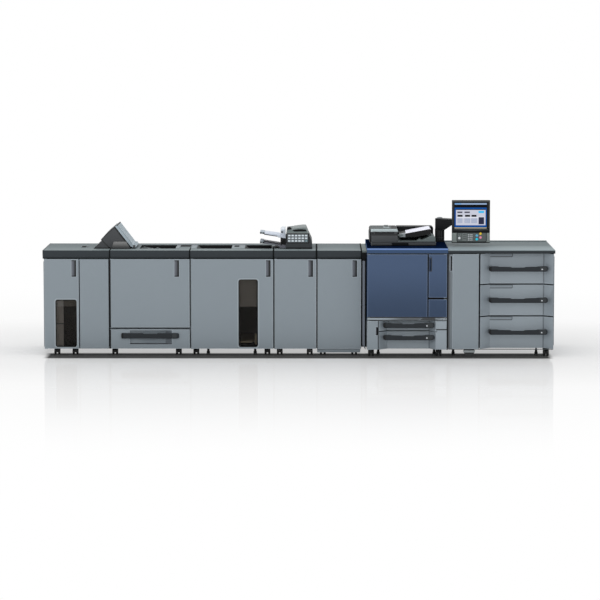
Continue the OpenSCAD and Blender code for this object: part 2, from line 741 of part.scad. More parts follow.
// Paper feeder
pull_x = strip_x + strip_w - strip_pocket_w;
feeder_bottom_top = feeder_head - feeder_top_h - feeder_middle_h - 2 * feeder_gap;
module feeder_cabinet() {
  x0 = feeder_x0;
  x1 = line_x1;
  inner_y = engine_y + frame_set + rail + seam;
  inner_back = engine_back - sheet_t - seam;
  color(panel_grey)
    chassis(x0, x1, engine_y, engine_back, engine_foot, worktop_z - seam, true, false, front_set + sheet_t);
  color(steel) {
    rail_x(x0, x1, engine_y, feeder_head + leaf_gap, worktop_z - seam);
    rail_x(x0, feeder_split + sheet_t, engine_y, base_z - leaf_gap - bracket_t, base_z + sheet_t);
    hinge(feeder_door_at, true);
    hinge(feeder_door_at, false);
    block([feeder_split, inner_y, base_z + sheet_t + seam],
        [feeder_split + sheet_t, inner_back, worktop_z - seam]);
    for (z = [feeder_head - feeder_top_h, feeder_bottom_top + feeder_gap, base_z])
      runners(feeder_split + sheet_t + seam, x1 - sheet_t - seam, engine_y + front_set + 2 * seam,
          z + 2 * rail);
  }
  color(cover_dark)
    difference() {
      union() {
        fixed_pan(strip_x, strip_x + strip_w, base_z, feeder_head, engine_y + strip_set,
            engine_y + frame_set - seam);
        block([pull_x - sheet_t, engine_y + strip_set, feeder_head - pocket_h - sheet_t],
              [strip_x + strip_w, engine_y + pocket_d + sheet_t, feeder_head - pocket_h * 0.1 + sheet_t]);
      }
      block([pull_x, engine_y, feeder_head - pocket_h],
          [strip_x + strip_w - sheet_t, engine_y + pocket_d, feeder_head - pocket_h * 0.1]);
    }
}

module feeder_worktop() {
  nose = worktop_t / 3;
  outline = concat([[engine_back, worktop_z], [engine_y - head_gap, worktop_z]],
                   arc(engine_y - head_gap + nose, feeder_h - nose, nose, 180, 90),
                       [[engine_back, feeder_h]]);
  color(top_grey)
    difference() {
      prism_yz(outline, feeder_x0, line_x1 + cover_overhang);
      block([feeder_x0 + mould_t, engine_y - head_gap + nose, worktop_z - over],
            [line_x1 + cover_overhang - mould_t, engine_back - mould_t, feeder_h - mould_t]);
    }
}

module feeder_door() {
  d = feeder_door_at;
  color(panel_grey) door_pan(d, [], []);
}

// Drawers: a hollowed front with flanks that slope inwards, and a tray of four plates behind it
// A front is left, right, foot, head, front plane, left flank, right flank and its flat right end
function front_y(f, x) = x < f[0] + f[5] ? f[4] + hollow_d * (x - f[0]) / f[5]
  : x > f[1] - f[7] - f[6] ? f[4] + hollow_d * (f[1] - f[7] - x) / f[6] : f[4] + hollow_d;
function front_line(f, shift) = [
  [f[0], f[4] + shift], [f[0] + f[5], f[4] + hollow_d + shift],
  [f[1] - f[7] - f[6], f[4] + hollow_d + shift], [f[1] - f[7], f[4] + shift], [f[1], f[4] + shift]];
function backwards(p) = [for (i = [len(p) - 1:-1:0]) p[i]];

module drawer_front(f, z0, z1) {
  back = f[4] + front_set;
  line = front_line(f, 0);
  prism_xy(concat(line, backwards(front_line(f, 1.5 * sheet_t))), z0, z1);
  whole = concat(line, [[f[1], back], [f[0], back]]);
  prism_xy(whole, z0, z0 + sheet_t);
  prism_xy(whole, z1 - sheet_t, z1);
  for (x = [f[0], f[1] - sheet_t]) block([x, f[4], z0], [x + sheet_t, back, z1]);
}

module drawer_tray(f, x0, x1, z0, z1) {
  y0 = f[4] + front_set + seam;
  y1 = y0 + tray_d - hollow_d;
  block([x0, y0, z0], [x1, y1, z0 + sheet_t]);
  for (x = [x0, x1 - sheet_t]) block([x, y0, z0 + sheet_t + seam], [x + sheet_t, y1, z1]);
  for (y = [y0, y1 - sheet_t])
    block([x0 + sheet_t + seam, y, z0 + sheet_t + seam], [x1 - sheet_t - seam, y + sheet_t, z1]);
}

module grip_bar(f, x0, x1, z0, z1) {
  y0 = f[4] - grip_out;
  y1 = y0 + grip_t;
  gap = seam;
  prism_xy([[x0, y0], [x1, y0], [x1, front_y(f, x1) - gap],
      [x1 - grip_leg, front_y(f, x1 - grip_leg) - gap],
            [x1 - grip_leg, y1], [x0 + grip_leg, y1], [x0 + grip_leg, front_y(f, x0 + grip_leg) - gap],
            [x0, front_y(f, x0) - gap]], z0, z1);
}

flank = 97;
right_flank = 86;
feeder_front = [feeder_drawer_x, feeder_drawer_x1, 0, 0, engine_y, flank, right_flank, 0];
grip_inset = 83;
grip_drop = 112;
module feeder_drawer(z0, z1) {
  color(panel_grey) {
    drawer_front(feeder_front, z0, z1);
    drawer_tray(feeder_front, feeder_split + sheet_t + seam + runner_t + slide_gap,
                line_x1 - sheet_t - seam - runner_t - slide_gap, z0 + rail, z1 - 2 * rail);
  }
}
module feeder_grip(z1) {
  color(grip_dark)
    grip_bar(feeder_front, feeder_drawer_x + grip_inset, feeder_drawer_x1 - grip_inset * 0.65,
        z1 - grip_drop - grip_h, z1 - grip_drop);
}
feeder_middle_top = feeder_head - feeder_top_h - feeder_gap;
module feeder_top_drawer() feeder_drawer(feeder_head - feeder_top_h, feeder_head);
module feeder_top_grip() feeder_grip(feeder_head);
module feeder_middle_drawer() feeder_drawer(feeder_bottom_top + feeder_gap, feeder_middle_top);
module feeder_middle_grip() feeder_grip(feeder_middle_top);
module feeder_bottom_drawer() feeder_drawer(base_z, feeder_bottom_top);
module feeder_bottom_grip() feeder_grip(feeder_bottom_top);

engine_flank = 84;
engine_right_flank = 54;
flat_end_w = 104;
engine_drawer_x = side_x1 + edge_gap / 2;
engine_front = [engine_drawer_x, engine_right, 0, 0, engine_y, engine_flank, engine_right_flank,
    flat_end_w];
engine_grip_inset = 42;
engine_grip_x1 = engine_right - flat_end_w - head_gap * 3;
module engine_drawer(z0, z1, tray_z0, tray_z1) {
  drawer_front(engine_front, z0, z1);
  drawer_tray(engine_front, divider_x + sheet_t + seam + runner_t + slide_gap,
              feeder_x0 - sheet_t - 2 * seam - runner_t - slide_gap, tray_z0, tray_z1);
}
lower_drawer_top = upper_drawer_foot - drawer_gap;
module engine_upper_drawer() {
  step_x = engine_right - flat_end_w + head_gap;
  color(panel_grey)
    difference() {
      engine_drawer(upper_drawer_foot, upper_drawer_top, upper_drawer_foot + seam_step + over,
          upper_drawer_top - rail);
      block([step_x, engine_y - over, upper_drawer_foot - over],
            [engine_right + over, engine_y + front_set + seam / 2, upper_drawer_foot + seam_step]);
    }
}
module engine_lower_drawer() {
  step_x = engine_right - flat_end_w + head_gap + drawer_gap;
  color(panel_grey) {
    engine_drawer(engine_foot, lower_drawer_top, base_z + sheet_t + over, lower_drawer_top - rail);
    block([step_x, engine_y, lower_drawer_top + seam],
        [engine_right, engine_y + hollow_d, lower_drawer_top + seam_step]);
  }
}
module engine_grip(z1) {
  color(grip_dark) grip_bar(engine_front, engine_drawer_x + engine_grip_inset, engine_grip_x1, z1 - grip_h,
    z1);
}
module engine_upper_grip() engine_grip(upper_drawer_top - engine_grip_drop);
module engine_lower_grip() engine_grip(lower_drawer_top - 2 * engine_grip_drop + head_gap);
engine_grip_drop = 14;

binder_front = [split_x + edge_gap, stacker_x0 - edge_gap, 0, 0, finisher_y, 0, 0, 0];
scoop_shares = [0.25, 0.78];
scoop = [binder_front[0] + (binder_front[1] - binder_front[0]) * scoop_shares[0],
         binder_front[0] + (binder_front[1] - binder_front[0]) * scoop_shares[1]];
scoop_z = finisher_foot + binder_drawer_h * 0.215;
scoop_h = binder_drawer_h * 0.75;
scoop_d = 26;
module binder_drawer() {
  y0 = finisher_y;
  y1 = y0 + scoop_d + sheet_t;
  z0 = finisher_foot;
  z1 = binder_drawer_top;
  x0 = binder_front[0];
  x1 = binder_front[1];
  color(panel_grey) {
    difference() {
      block([x0, y0, z0], [x1, y1, z1]);
      block([x0 + sheet_t, y0 + sheet_t, z0 + sheet_t], [scoop[0] - sheet_t, y1 + over, z1 - sheet_t]);
      block([scoop[1] + sheet_t, y0 + sheet_t, z0 + sheet_t], [x1 - sheet_t, y1 + over, z1 - sheet_t]);
      block([scoop[0] - sheet_t - over, y0 + sheet_t, z0 + sheet_t],
            [scoop[1] + sheet_t + over, y1 + over, scoop_z - sheet_t]);
      block([scoop[0], y0 - over, scoop_z], [scoop[1], y0 + scoop_d, scoop_z + scoop_h]);
    }
    translate([0, y1 - y0 - front_set, 0])
      drawer_tray(binder_front, split_x + sheet_t + seam + runner_t + slide_gap,
                  stacker_x0 - sheet_t - 2 * seam - runner_t - slide_gap, base_z + sheet_t + over,
                      z1 - 2 * rail);
  }
}
module binder_drawer_grip() {
  x0 = scoop[0] - 4 * rail;
  x1 = scoop[1] + 3.3 * rail;
  z1 = scoop_z + scoop_h * 0.8;
  y1 = finisher_y - seam;
  color(grip_dark) block([x0, y1 - grip_t, z1 - grip_h], [x1, y1, z1]);
}

// Book exit hood: a dark wedge with a sloping lid on its right side
hood_x0 = binder_x0 + hood_x;
hood_y0 = finisher_y + hood_y;
hood_z0 = finisher_h + seam;
hood_shares = [[0, 0], [0.19, 0.3], [0.172, 0.35], [0.3, 0.585], [0.485, 0.85], [0.825, 0.1], [0.825, 0]];
guard_shares = [[0.424, 0], [0.47, 0.273], [0.75, 0.273], [0.853, 0]];
lid_shares = [[0.5, 0.85], [0.552, 0.915], [0.915, 0.13], [0.985, 0.085], [0.965, 0.04], [0.9, 0.05],
    [0.85, 0.09]];
hood_pin_x = hood_x0 + hood_w * 0.935;
hood_pin_z = hood_z0 + hood_h * 0.1;
ear = 2 * pin_r;
module book_exit_hood() {
  inner = placed(hood_shares, [hood_x0 + 2 * mould_t, hood_z0 - over],
      [hood_w - 4 * mould_t, hood_h - mould_t]);
  color(cover_dark)
    difference() {
      union() {
        prism_xz(placed(hood_shares, [hood_x0, hood_z0], [hood_w, hood_h]), hood_y0, hood_y0 + hood_d);
        prism_xz(placed(guard_shares, [hood_x0, hood_z0], [hood_w, hood_h]), hood_y0 - 2 * rail,
            hood_y0 - seam / 2);
      }
      prism_xz(inner, hood_y0 + mould_t, hood_y0 + hood_d - mould_t);
      prism_xz(placed(guard_shares, [hood_x0, hood_z0 - 2 * mould_t], [hood_w, hood_h]),
          hood_y0 - 2 * rail + mould_t, hood_y0 - mould_t);
    }
  color(steel) {
    for (y = [hood_y0 - mould_t - leaf_gap, hood_y0 + hood_d + leaf_gap])
      block([hood_pin_x - ear, y, hood_z0], [hood_pin_x + ear, y + mould_t, hood_pin_z + ear]);
    rod_y(hood_pin_x, hood_pin_z, pin_r, hood_y0 - leaf_gap, hood_y0 + hood_d + leaf_gap);
  }
}
module book_exit_lid() {
  color(light_grey)
    difference() {
      union() {
        prism_xz(placed(lid_shares, [hood_x0, hood_z0], [hood_w, hood_h]), hood_y0, hood_y0 + hood_d);
        rod_y(hood_pin_x, hood_pin_z, pin_r + 2 * mould_t, hood_y0, hood_y0 + hood_d);
      }
      rod_y(hood_pin_x, hood_pin_z, pin_r + pin_play, hood_y0 - over, hood_y0 + hood_d + over);
    }
}

// Sheet inserter on the folding unit, with two trays and a key panel
inserter_x0 = folder_x0 + inserter_x;
inserter_y0 = finisher_y + hood_y - rail;
inserter_z0 = finisher_h + seam;
inserter_shares = [[0, 0], [0, 0.6], [0.04, 0.907], [0.22, 0.936], [0.745, 1], [0.77, 0.985], [0.86, 0.72],
    [0.985, 0.386], [1, 0.19], [1, 0]];
key_w = 22;
key_h = 14;
key_pitch = 32;
key_out = 3;
key_travel = 1.5;
key_columns = [0:5];
key_rows = [0:2];
inserter_key_x = inserter_x0 + key_w;
inserter_key_z = inserter_z0 + inserter_h * 0.35;
module key_shafts(x, y0, y1, z, grow) {
  for (c = key_columns)
    for (r = key_rows)
      block([x + c * key_pitch - grow, y0, z + r * key_pitch * 0.8 - grow],
            [x + c * key_pitch + key_w + grow, y1, z + r * key_pitch * 0.8 + key_h + grow]);
}
module inserter_body() {
  inner = placed(inserter_shares, [inserter_x0 + mould_t, inserter_z0 - over],
      [inserter_w - 2 * mould_t, inserter_h - mould_t]);
  color(top_grey)
    difference() {
      prism_xz(placed(inserter_shares, [inserter_x0, inserter_z0], [inserter_w, inserter_h]), inserter_y0,
          inserter_y0 + inserter_d);
      prism_xz(inner, inserter_y0 + mould_t, inserter_y0 + inserter_d - mould_t);
      key_shafts(inserter_key_x, inserter_y0 - over, inserter_y0 + mould_t + over, inserter_key_z, seam);
    }
}
module inserter_keys() {
  back_y = inserter_y0 + mould_t + key_travel + leaf_gap;
  color(light_grey) {
    key_shafts(inserter_key_x, inserter_y0 - key_out, back_y + over, inserter_key_z, 0);
    block([inserter_key_x - over, back_y, inserter_key_z - over],
          [inserter_key_x + 5 * key_pitch + key_w + over, back_y + mould_t,
              inserter_key_z + 1.6 * key_pitch + key_h + over]);
  }
}
upper_tray_shares = [[0, 0.723], [0, 0.795], [0.7, 0.684], [1, 0.593], [1, 0.5], [0.735, 0.553],
    [0.69, 0.597]];
lower_tray_shares = [[0, 0.269], [0, 0.365], [0.81, 0.207], [1, 0.17], [1, 0.018], [0.775, 0.032],
    [0.7, 0.158]];
inserter_tray_d = inserter_d * 0.6;
module inserter_trays() {
  y0 = inserter_y0 + 2 * rail;
  at = [inserter_x0 - seam - inserter_tray_l, inserter_z0];
  size = [inserter_tray_l, inserter_h];
  color(light_grey) prism_xz(placed(upper_tray_shares, at, size), y0, y0 + inserter_tray_d);
  color(cover_dark) prism_xz(placed(lower_tray_shares, at, size), y0, y0 + inserter_tray_d);
}

// Scanner with its lid, which holds the feeder of originals
scanner_x0 = engine_x0 + scanner_x;
scanner_y0 = engine_y + scanner_y;
scanner_y1 = scanner_y0 + scanner_d;
scanner_z0 = engine_h + seam;
scanner_top = engine_h + scanner_h;
lid_z0 = scanner_top + over;
lid_z1 = lid_z0 + adf_h;
lid_x0 = scanner_x0 - boss_half - mould_t;
lid_w = scanner_w + boss_half - mould_t;
hinge_y = scanner_y1 + pin_inset;
hinge_z = scanner_top + pin_inset;
hinge_x_shares = [0.2, 0.8];
module lid_hinge_x(i, grow) translate([scanner_x0 + scanner_w * hinge_x_shares[i] - grow, 0, 0]) children();
module scanner_base() {
  notch_shares = [0.32, 0.576];
  color(cover_dark)
    difference() {
      block([scanner_x0, scanner_y0, scanner_z0], [scanner_x0 + scanner_w, scanner_y1, scanner_top]);
      block([scanner_x0 + mould_t, scanner_y0 + rail + mould_t, scanner_z0 - over],
            [scanner_x0 + scanner_w - mould_t, scanner_y1 - mould_t, scanner_top - 2 * mould_t]);
      block([scanner_x0 + scanner_w * notch_shares[0], scanner_y0 - over, scanner_z0 - over],
            [scanner_x0 + scanner_w * notch_shares[1], scanner_y0 + rail, scanner_top - scanner_h / 3]);
      block([glass_x0 - seam, glass_y0 - seam, scanner_top - pane_t],
          [glass_x1 + seam, glass_y1 + seam, scanner_top + over]);
    }
  color(smoke) block([glass_x0, glass_y0, scanner_top - pane_t + seam], [glass_x1, glass_y1, scanner_top]);
  color(steel)
    for (i = [0:1]) lid_hinge_x(i, 2 * rail / 2 + bracket_t + leaf_gap) {
      for (x = [0, 2 * rail + bracket_t + 2 * leaf_gap])
        prism_yz(concat([[scanner_y1 + seam, scanner_z0], [scanner_y1 + seam, hinge_z]],
            arc(hinge_y, hinge_z, boss_half, 180, 0), [[hinge_y + boss_half, scanner_z0]]),
                 x, x + bracket_t);
      rod_x(hinge_y, hinge_z, pin_r, bracket_t / 2, 2 * rail + bracket_t * 1.5 + 2 * leaf_gap);
    }
}
glass_x0 = scanner_x0 + 3 * rail;
glass_x1 = scanner_x0 + scanner_w - 3 * rail;
glass_y0 = scanner_y0 + 3 * rail;
glass_y1 = glass_y0 + scanner_d * 0.55;

wedge_shares = [[1, 0.55], [0.948, 0.83], [0.797, 0.28], [0.756, 0.43], [0.713, 0.16], [0.435, 0.16]];
cover_pin_x = lid_x0 + pin_inset - mould_t;
cover_pin_z = lid_z1 + pin_inset - mould_t;
cover_y1 = scanner_y1 - adf_rear_d;
rear_top = lid_z1 + adf_cover_h * 0.8;
adf_x1 = lid_x0 + adf_w;
tray_pin_x = adf_x1 + 2 * rail - mould_t;
tray_pin_z = lid_z0 + adf_h * 0.87;
tray_y0 = scanner_y0 + 2 * rail;
tray_y1 = cover_y1 - rail;
module scanner_lid() {
  outline = concat([[lid_x0, lid_z0], [lid_x0 + lid_w, lid_z0]],
      placed(wedge_shares, [lid_x0, lid_z0], [lid_w, adf_h]),
                   [[adf_x1, lid_z0 + adf_h * 0.16], [adf_x1, lid_z1], [lid_x0, lid_z1]]);
  rear = concat([[adf_x1 - over, lid_z0 + over], [lid_x0 + lid_w - mould_t, lid_z0 + over]],
                arc(lid_x0 + lid_w - mould_t - rail, rear_top - rail, rail, 0, 90),
                [[adf_x1 - over, rear_top]]);
  color(cover_dark)
    difference() {
      union() {
        prism_xz(outline, scanner_y0, scanner_y1);
        prism_xz(rear, cover_y1 + seam, scanner_y1);
      }
      block([lid_x0 + mould_t, scanner_y0 + mould_t, lid_z0 - over],
          [adf_x1 - mould_t, scanner_y1 - mould_t, lid_z1 - mould_t]);
      block([adf_x1 - mould_t - over, cover_y1 + 2 * mould_t, lid_z0 - over],
            [lid_x0 + lid_w - 3 * mould_t, scanner_y1 - mould_t, rear_top - rail]);
    }
  color(cover_dark) for (y = [scanner_y0, cover_y1 - mould_t])
    block([lid_x0, y, lid_z1 - mould_t], [cover_pin_x + boss_half, y + mould_t, cover_pin_z + boss_half]);
  color(steel) {
    rod_y(cover_pin_x, cover_pin_z, pin_r * 0.8, scanner_y0 + mould_t - over, scanner_y0 + 3 * mould_t);
    rod_y(cover_pin_x, cover_pin_z, pin_r * 0.8, cover_y1 - 3 * mould_t, cover_y1 - mould_t + over);
    for (y = [tray_y0 - mould_t - leaf_gap, tray_y1 + leaf_gap])
      block([adf_x1 - over, y, tray_pin_z - boss_half * 0.7],
          [tray_pin_x + boss_half * 0.7, y + mould_t, tray_pin_z + boss_half * 0.7]);
    rod_y(tray_pin_x, tray_pin_z, pin_r * 0.8, tray_y0 - mould_t, tray_y0 + 3 * mould_t);
    rod_y(tray_pin_x, tray_pin_z, pin_r * 0.8, tray_y1 - 3 * mould_t, tray_y1 + mould_t);
  }
  color(cover_dark) for (i = [0:1]) lid_hinge_x(i, 2 * rail / 2)
    difference() {
      block([0, scanner_y1 - over, hinge_z - boss_half],
          [2 * rail, hinge_y + boss_half, hinge_z + boss_half]);
      rod_x(hinge_y, hinge_z, pin_r + pin_play, -over, 2 * rail + over);
    }
  color(light_grey)
    block([lid_x0 + mould_t + seam, scanner_y0 + mould_t + seam, lid_z0],
        [adf_x1 - mould_t - seam, cover_y1, lid_z0 + mould_t]);
}
hump_shares = [[0.5, 1], [0.54, 1.17], [0.68, 1.17], [0.72, 1]];
module adf_cover() {
  x1 = adf_x1;
  y0 = scanner_y0 + mould_t + leaf_gap;
  y1 = cover_y1 - mould_t - leaf_gap;
  z1 = lid_z1 + adf_cover_h;
  r = pin_inset - mould_t - seam;
  outline = concat(arc(cover_pin_x, cover_pin_z, r, 180, 270), [[x1, lid_z1 + seam]],
      arc(x1 - rail, z1 - rail, rail, 0, 90),
                   arc(lid_x0 + rail + seam, z1 - rail, rail, 90, 180));
  color(top_grey)
    difference() {
      union() {
        difference() {
          prism_xz(outline, y0, y1);
          block([cover_pin_x + boss_half, y0 + mould_t, lid_z1 - over],
              [x1 - mould_t, y1 - mould_t, z1 - 2 * mould_t]);
        }
        prism_xz(placed(hump_shares, [lid_x0, lid_z1], [adf_w, adf_cover_h - over]), y0 + 6 * rail,
            y1 - 2 * rail);
      }
      rod_y(cover_pin_x, cover_pin_z, pin_r * 0.8 + pin_play, y0 - over, y0 + 3 * mould_t);
      rod_y(cover_pin_x, cover_pin_z, pin_r * 0.8 + pin_play, y1 - 3 * mould_t, y1 + over);
    }
}
adf_tray_shares = [[0, 0.02], [0, 0.3], [0.1, 0.36], [0.156, 0.4], [0.92, 0.91], [0.955, 0.82], [0.94, 0.36],
    [0.5, 0.05]];
module adf_tray() {
  size = [scanner_w * 0.51, (adf_h + adf_cover_h) * 0.69];
  at = [tray_pin_x - rail, tray_pin_z - rail];
  color(cover_dark)
    difference() {
      prism_xz(placed(adf_tray_shares, at, size), tray_y0, tray_y1);
      prism_xz(placed(adf_tray_shares, [at[0] + 2 * rail, at[1] + 3 * mould_t],
          [size[0] - 2 * rail - 2 * mould_t, size[1] - 4.5 * mould_t]),
               tray_y0 + mould_t, tray_y1 - mould_t);
      rod_y(tray_pin_x, tray_pin_z, pin_r * 0.8 + pin_play, tray_y0 - over, tray_y0 + 3 * mould_t + over);
      rod_y(tray_pin_x, tray_pin_z, pin_r * 0.8 + pin_play, tray_y1 - 3 * mould_t - over, tray_y1 + over);
    }
}

// Operation panel on a swivelling arm
panel_x0 = engine_x0 + panel_x;
panel_y0 = engine_y + panel_y;
panel_z = engine_h + panel_lift;
post_x = panel_x0 - 1.68 * post_w;
post_x1 = post_x + post_w;
post_y = panel_y0 + 2.91 * post_w;
swivel_x = post_x + post_w / 2;
swivel_y = post_y + post_w / 2;
arm_z = engine_h + post_h;
tilt_y = panel_y0 + panel_t + 2 * boss_half;
tilt_z = arm_z + arm_h * 0.74;
tilt_x = panel_x0 + panel_w * 0.4;
module panel_post() {
  color(soft_black)
    difference() {
      block([post_x, post_y, engine_h + seam], [post_x1, post_y + post_w, arm_z - seam]);
      block([post_x + 2 * mould_t, post_y + 2 * mould_t, engine_h - over],
            [post_x1 - 2 * mould_t, post_y + post_w - 2 * mould_t, arm_z - 4 * mould_t]);
    }
  color(steel) translate([swivel_x, swivel_y, arm_z - seam - over]) cylinder(r = swivel_r, h = arm_h / 2);
}
module panel_arm() {
  tip = tilt_x + 2 * rail;
  mount = tilt_y + boss_half;
  plan = concat([[post_x, post_y]], arc(swivel_x, swivel_y, post_w / 2, 180, 90),
      [[post_x1, post_y + post_w], [tip, mount + 2.5 * rail], [tip, mount], [tilt_x - 2 * rail, mount]]);
  side = [[post_x - over, arm_z], [post_x1, arm_z], [post_x1 + 3.5 * rail, arm_z + arm_h / 2],
          [tip + over, arm_z + arm_h / 2], [tip + over, arm_z + arm_h], [post_x - over, arm_z + arm_h]];
  color(soft_black)
    difference() {
      union() {
        intersection() {
          prism_xy(plan, arm_z, arm_z + arm_h);
          prism_xz(side, mount - over, post_y + post_w + over);
        }
        for (x = [tilt_x - rail - bracket_t - leaf_gap, tilt_x + rail + leaf_gap])
          block([x, tilt_y - boss_half, tilt_z - boss_half],
              [x + bracket_t, mount + over, tilt_z + boss_half]);
        rod_x(tilt_y, tilt_z, pin_r, tilt_x - rail - bracket_t, tilt_x + rail + bracket_t);
      }
      translate([swivel_x, swivel_y, arm_z - over])
        cylinder(r = swivel_r + pin_play, h = arm_h / 2 + over + leaf_gap);
    }
}
screen_x0 = panel_x0 + (panel_w - screen_w) / 2;
screen_z0 = panel_z + panel_h - screen_h - (panel_w - screen_w) / 2;
module panel_housing() {
  y1 = panel_y0 + panel_t;
  color(cover_dark)
    difference() {
      union() {
        difference() {
          block([panel_x0, panel_y0, panel_z], [panel_x0 + panel_w, y1, panel_z + panel_h]);
          block([panel_x0 + mould_t, panel_y0 + 3 * mould_t, panel_z + mould_t],
                [panel_x0 + panel_w - mould_t, y1 + over, panel_z + panel_h - mould_t]);
        }
        block([tilt_x - 2 * rail, panel_y0 + 2 * mould_t, tilt_z - rail],
            [tilt_x + 2 * rail, y1, tilt_z + rail]);
        block([tilt_x - rail, y1 - over, tilt_z - boss_half * 0.7],
            [tilt_x + rail, tilt_y + boss_half * 0.7, tilt_z + boss_half * 0.7]);
      }
      block([screen_x0 - seam, panel_y0 - over, screen_z0 - seam],
          [screen_x0 + screen_w + seam, panel_y0 + pane_t + seam, screen_z0 + screen_h + seam]);
      key_holes(seam, panel_y0 - over, panel_y0 + 3 * mould_t + over);
      rod_x(tilt_y, tilt_z, pin_r + pin_play, tilt_x - rail - over, tilt_x + rail + over);
    }
  color(cover_dark)
    difference() {
      block([panel_x0 + mould_t + seam, y1 - mould_t, panel_z + mould_t + seam],
            [panel_x0 + panel_w - mould_t - seam, y1, panel_z + panel_h - mould_t - seam]);
      block([tilt_x - 2 * rail - seam, y1 - mould_t - over, tilt_z - rail - seam],
          [tilt_x + 2 * rail + seam, y1 + over, tilt_z + rail + seam]);
    }
}
module panel_screen() {
  color([0.15, 0.35, 0.62]) block([screen_x0, panel_y0, screen_z0],
    [screen_x0 + screen_w, panel_y0 + pane_t, screen_z0 + screen_h]);
}
pad_x0 = panel_x0 + panel_w * 0.16;
pad_z0 = panel_z + panel_h * 0.06;
button_r = 8;
small_key = 11;
number_x = pad_x0 + panel_w * 0.26;
button_shares = [[0.013, 0.22], [0.57, 0.86], [0.57, 0.31], [0.473, 0.58], [0.473, 0.07]];
button_reach = max([for (b = button_shares) b[0]]);
pad_h = 6 * small_key;
module key_holes(grow, y0, y1) {
  for (c = [0:2]) for (r = [0:3])
    block([number_x + c * 1.5 * small_key - grow, y0, pad_z0 + r * 1.5 * small_key - grow],
          [number_x + c * 1.5 * small_key + small_key + grow, y1,
              pad_z0 + r * 1.5 * small_key + small_key * 0.8 + grow]);
  for (b = button_shares)
    rod_y(pad_x0 + panel_w * b[0] + button_r, pad_z0 + pad_h * b[1] + button_r, button_r + grow, y0,
        y1);
}
module panel_keys() {
  back_y = panel_y0 + 3 * mould_t + key_travel + leaf_gap;
  color(light_grey) {
    key_holes(0, panel_y0 - key_out, back_y + over);
    block([pad_x0, back_y, pad_z0], [pad_x0 + panel_w * button_reach + 2 * button_r, back_y + mould_t,
        pad_z0 + pad_h + small_key]);
  }
}

// Casters, their wheels and the levelling feet
binder_caster_shares = [0.084, 0.209, 0.482, 0.919];
stacker_caster_shares = [0.069, 0.924];
stacker_foot_shares = [0.212, 0.777];
folder_caster_shares = [0.14, 0.84];
relay_caster_shares = [0.14, 0.844];
engine_caster_shares = [0.055, 0.895];
engine_foot_shares = [0.146, 0.842];
feeder_caster_shares = [0.205, 0.936];
feeder_foot_shares = [0.06, 0.848];
finisher_caster_x = concat(
  [for (s = binder_caster_shares) binder_x0 + binder_w * s],
      [for (s = stacker_caster_shares) stacker_x0 + stacker_w * s],
  [for (s = folder_caster_shares) folder_x0 + folder_w * s],
      [for (s = relay_caster_shares) relay_x0 + relay_w * s]);
finisher_foot_x = [for (s = stacker_foot_shares) stacker_x0 + stacker_w * s];
printer_caster_x = concat(
  [for (s = engine_caster_shares) engine_x0 + engine_w * s],
      [for (s = feeder_caster_shares) feeder_x0 + feeder_w * s]);
printer_foot_x = concat(
  [for (s = engine_foot_shares) engine_x0 + engine_w * s],
      [for (s = feeder_foot_shares) feeder_x0 + feeder_w * s]);
finisher_axles = [finisher_y + axle_inset, finisher_back - axle_inset];
printer_axles = [engine_y + printer_axle_inset, engine_back - printer_axle_inset];
foot_set = wheel_r + foot_r + sheet_t;
axle_r = 5;
module caster_fork(x, y) {
  side = fork_w / 2;
  plate = fork_w / 2 + wheel_w;
  block([x - side, y - 2 * axle_r, wheel_r - 2 * axle_r], [x + side, y + 2 * axle_r, base_z - seam]);
  block([x - plate, y - plate, base_z - seam - 2 * sheet_t], [x + plate, y + plate, base_z - seam]);
  rod_x(y, wheel_r, axle_r, x - side - wheel_w * 0.8, x + side + wheel_w * 0.8);
}
module levelling_foot(x, y) {
  translate([x, y, 0]) cylinder(r = foot_r, h = foot_t);
  translate([x, y, foot_t - over]) cylinder(r = foot_r / 2, h = base_z - seam - foot_t + over);
}
module casters() {
  stand_x = feeder_x0 + feeder_w * feeder_caster_shares[0];
  stand_y = engine_y + frame_set;
  stand_z = base_z - leaf_gap - bracket_t - seam;
  half = wheel_r + wheel_w;
  color(steel) prism_xz([[stand_x - half * 0.6, 0], [stand_x + half * 0.6, 0],
    [stand_x + half, stand_z * 0.6], [stand_x + half, stand_z],
                         [stand_x - half, stand_z], [stand_x - half, stand_z * 0.6]], stand_y,
                           stand_y + rail);
  color(steel) {
    for (y = finisher_axles) {
      for (x = finisher_caster_x) caster_fork(x, y);
      for (x = finisher_foot_x) levelling_foot(x, y);
    }
    for (y = printer_axles)
      for (x = printer_caster_x) caster_fork(x, y);
    for (y = [printer_axles[0] + foot_set, printer_axles[1] - foot_set])
      for (x = printer_foot_x) levelling_foot(x, y);
  }
}
module wheels(places, y) {
  side = fork_w / 2 + leaf_gap;
  color(soft_black)
    for (x = places)
      for (x0 = [x - side - wheel_w, x + side])
        difference() {
          rod_x(y, wheel_r, wheel_r, x0, x0 + wheel_w);
          rod_x(y, wheel_r, axle_r + pin_play, x0 - over, x0 + wheel_w + over);
        }
}
module finisher_front_wheels() wheels(finisher_caster_x, finisher_axles[0]);
module finisher_rear_wheels() wheels(finisher_caster_x, finisher_axles[1]);
module printer_front_wheels() wheels(printer_caster_x, printer_axles[0]);
module printer_rear_wheels() wheels(printer_caster_x, printer_axles[1]);

// Stack platform between the two lift posts of the stacker
module stack_platform() {
  x0 = stacker_x0 + sheet_t + seam + rail + seam;
  x1 = folder_x0 - 3 * seam - sheet_t - rail;
  y0 = finisher_y + frame_set + 2 * rail;
  z0 = base_z + sheet_t + 2 * rail;
  color([0.80, 0.74, 0.62]) block([x0, y0, z0], [x1, finisher_back - 3 * rail, z0 + sheet_t]);
}

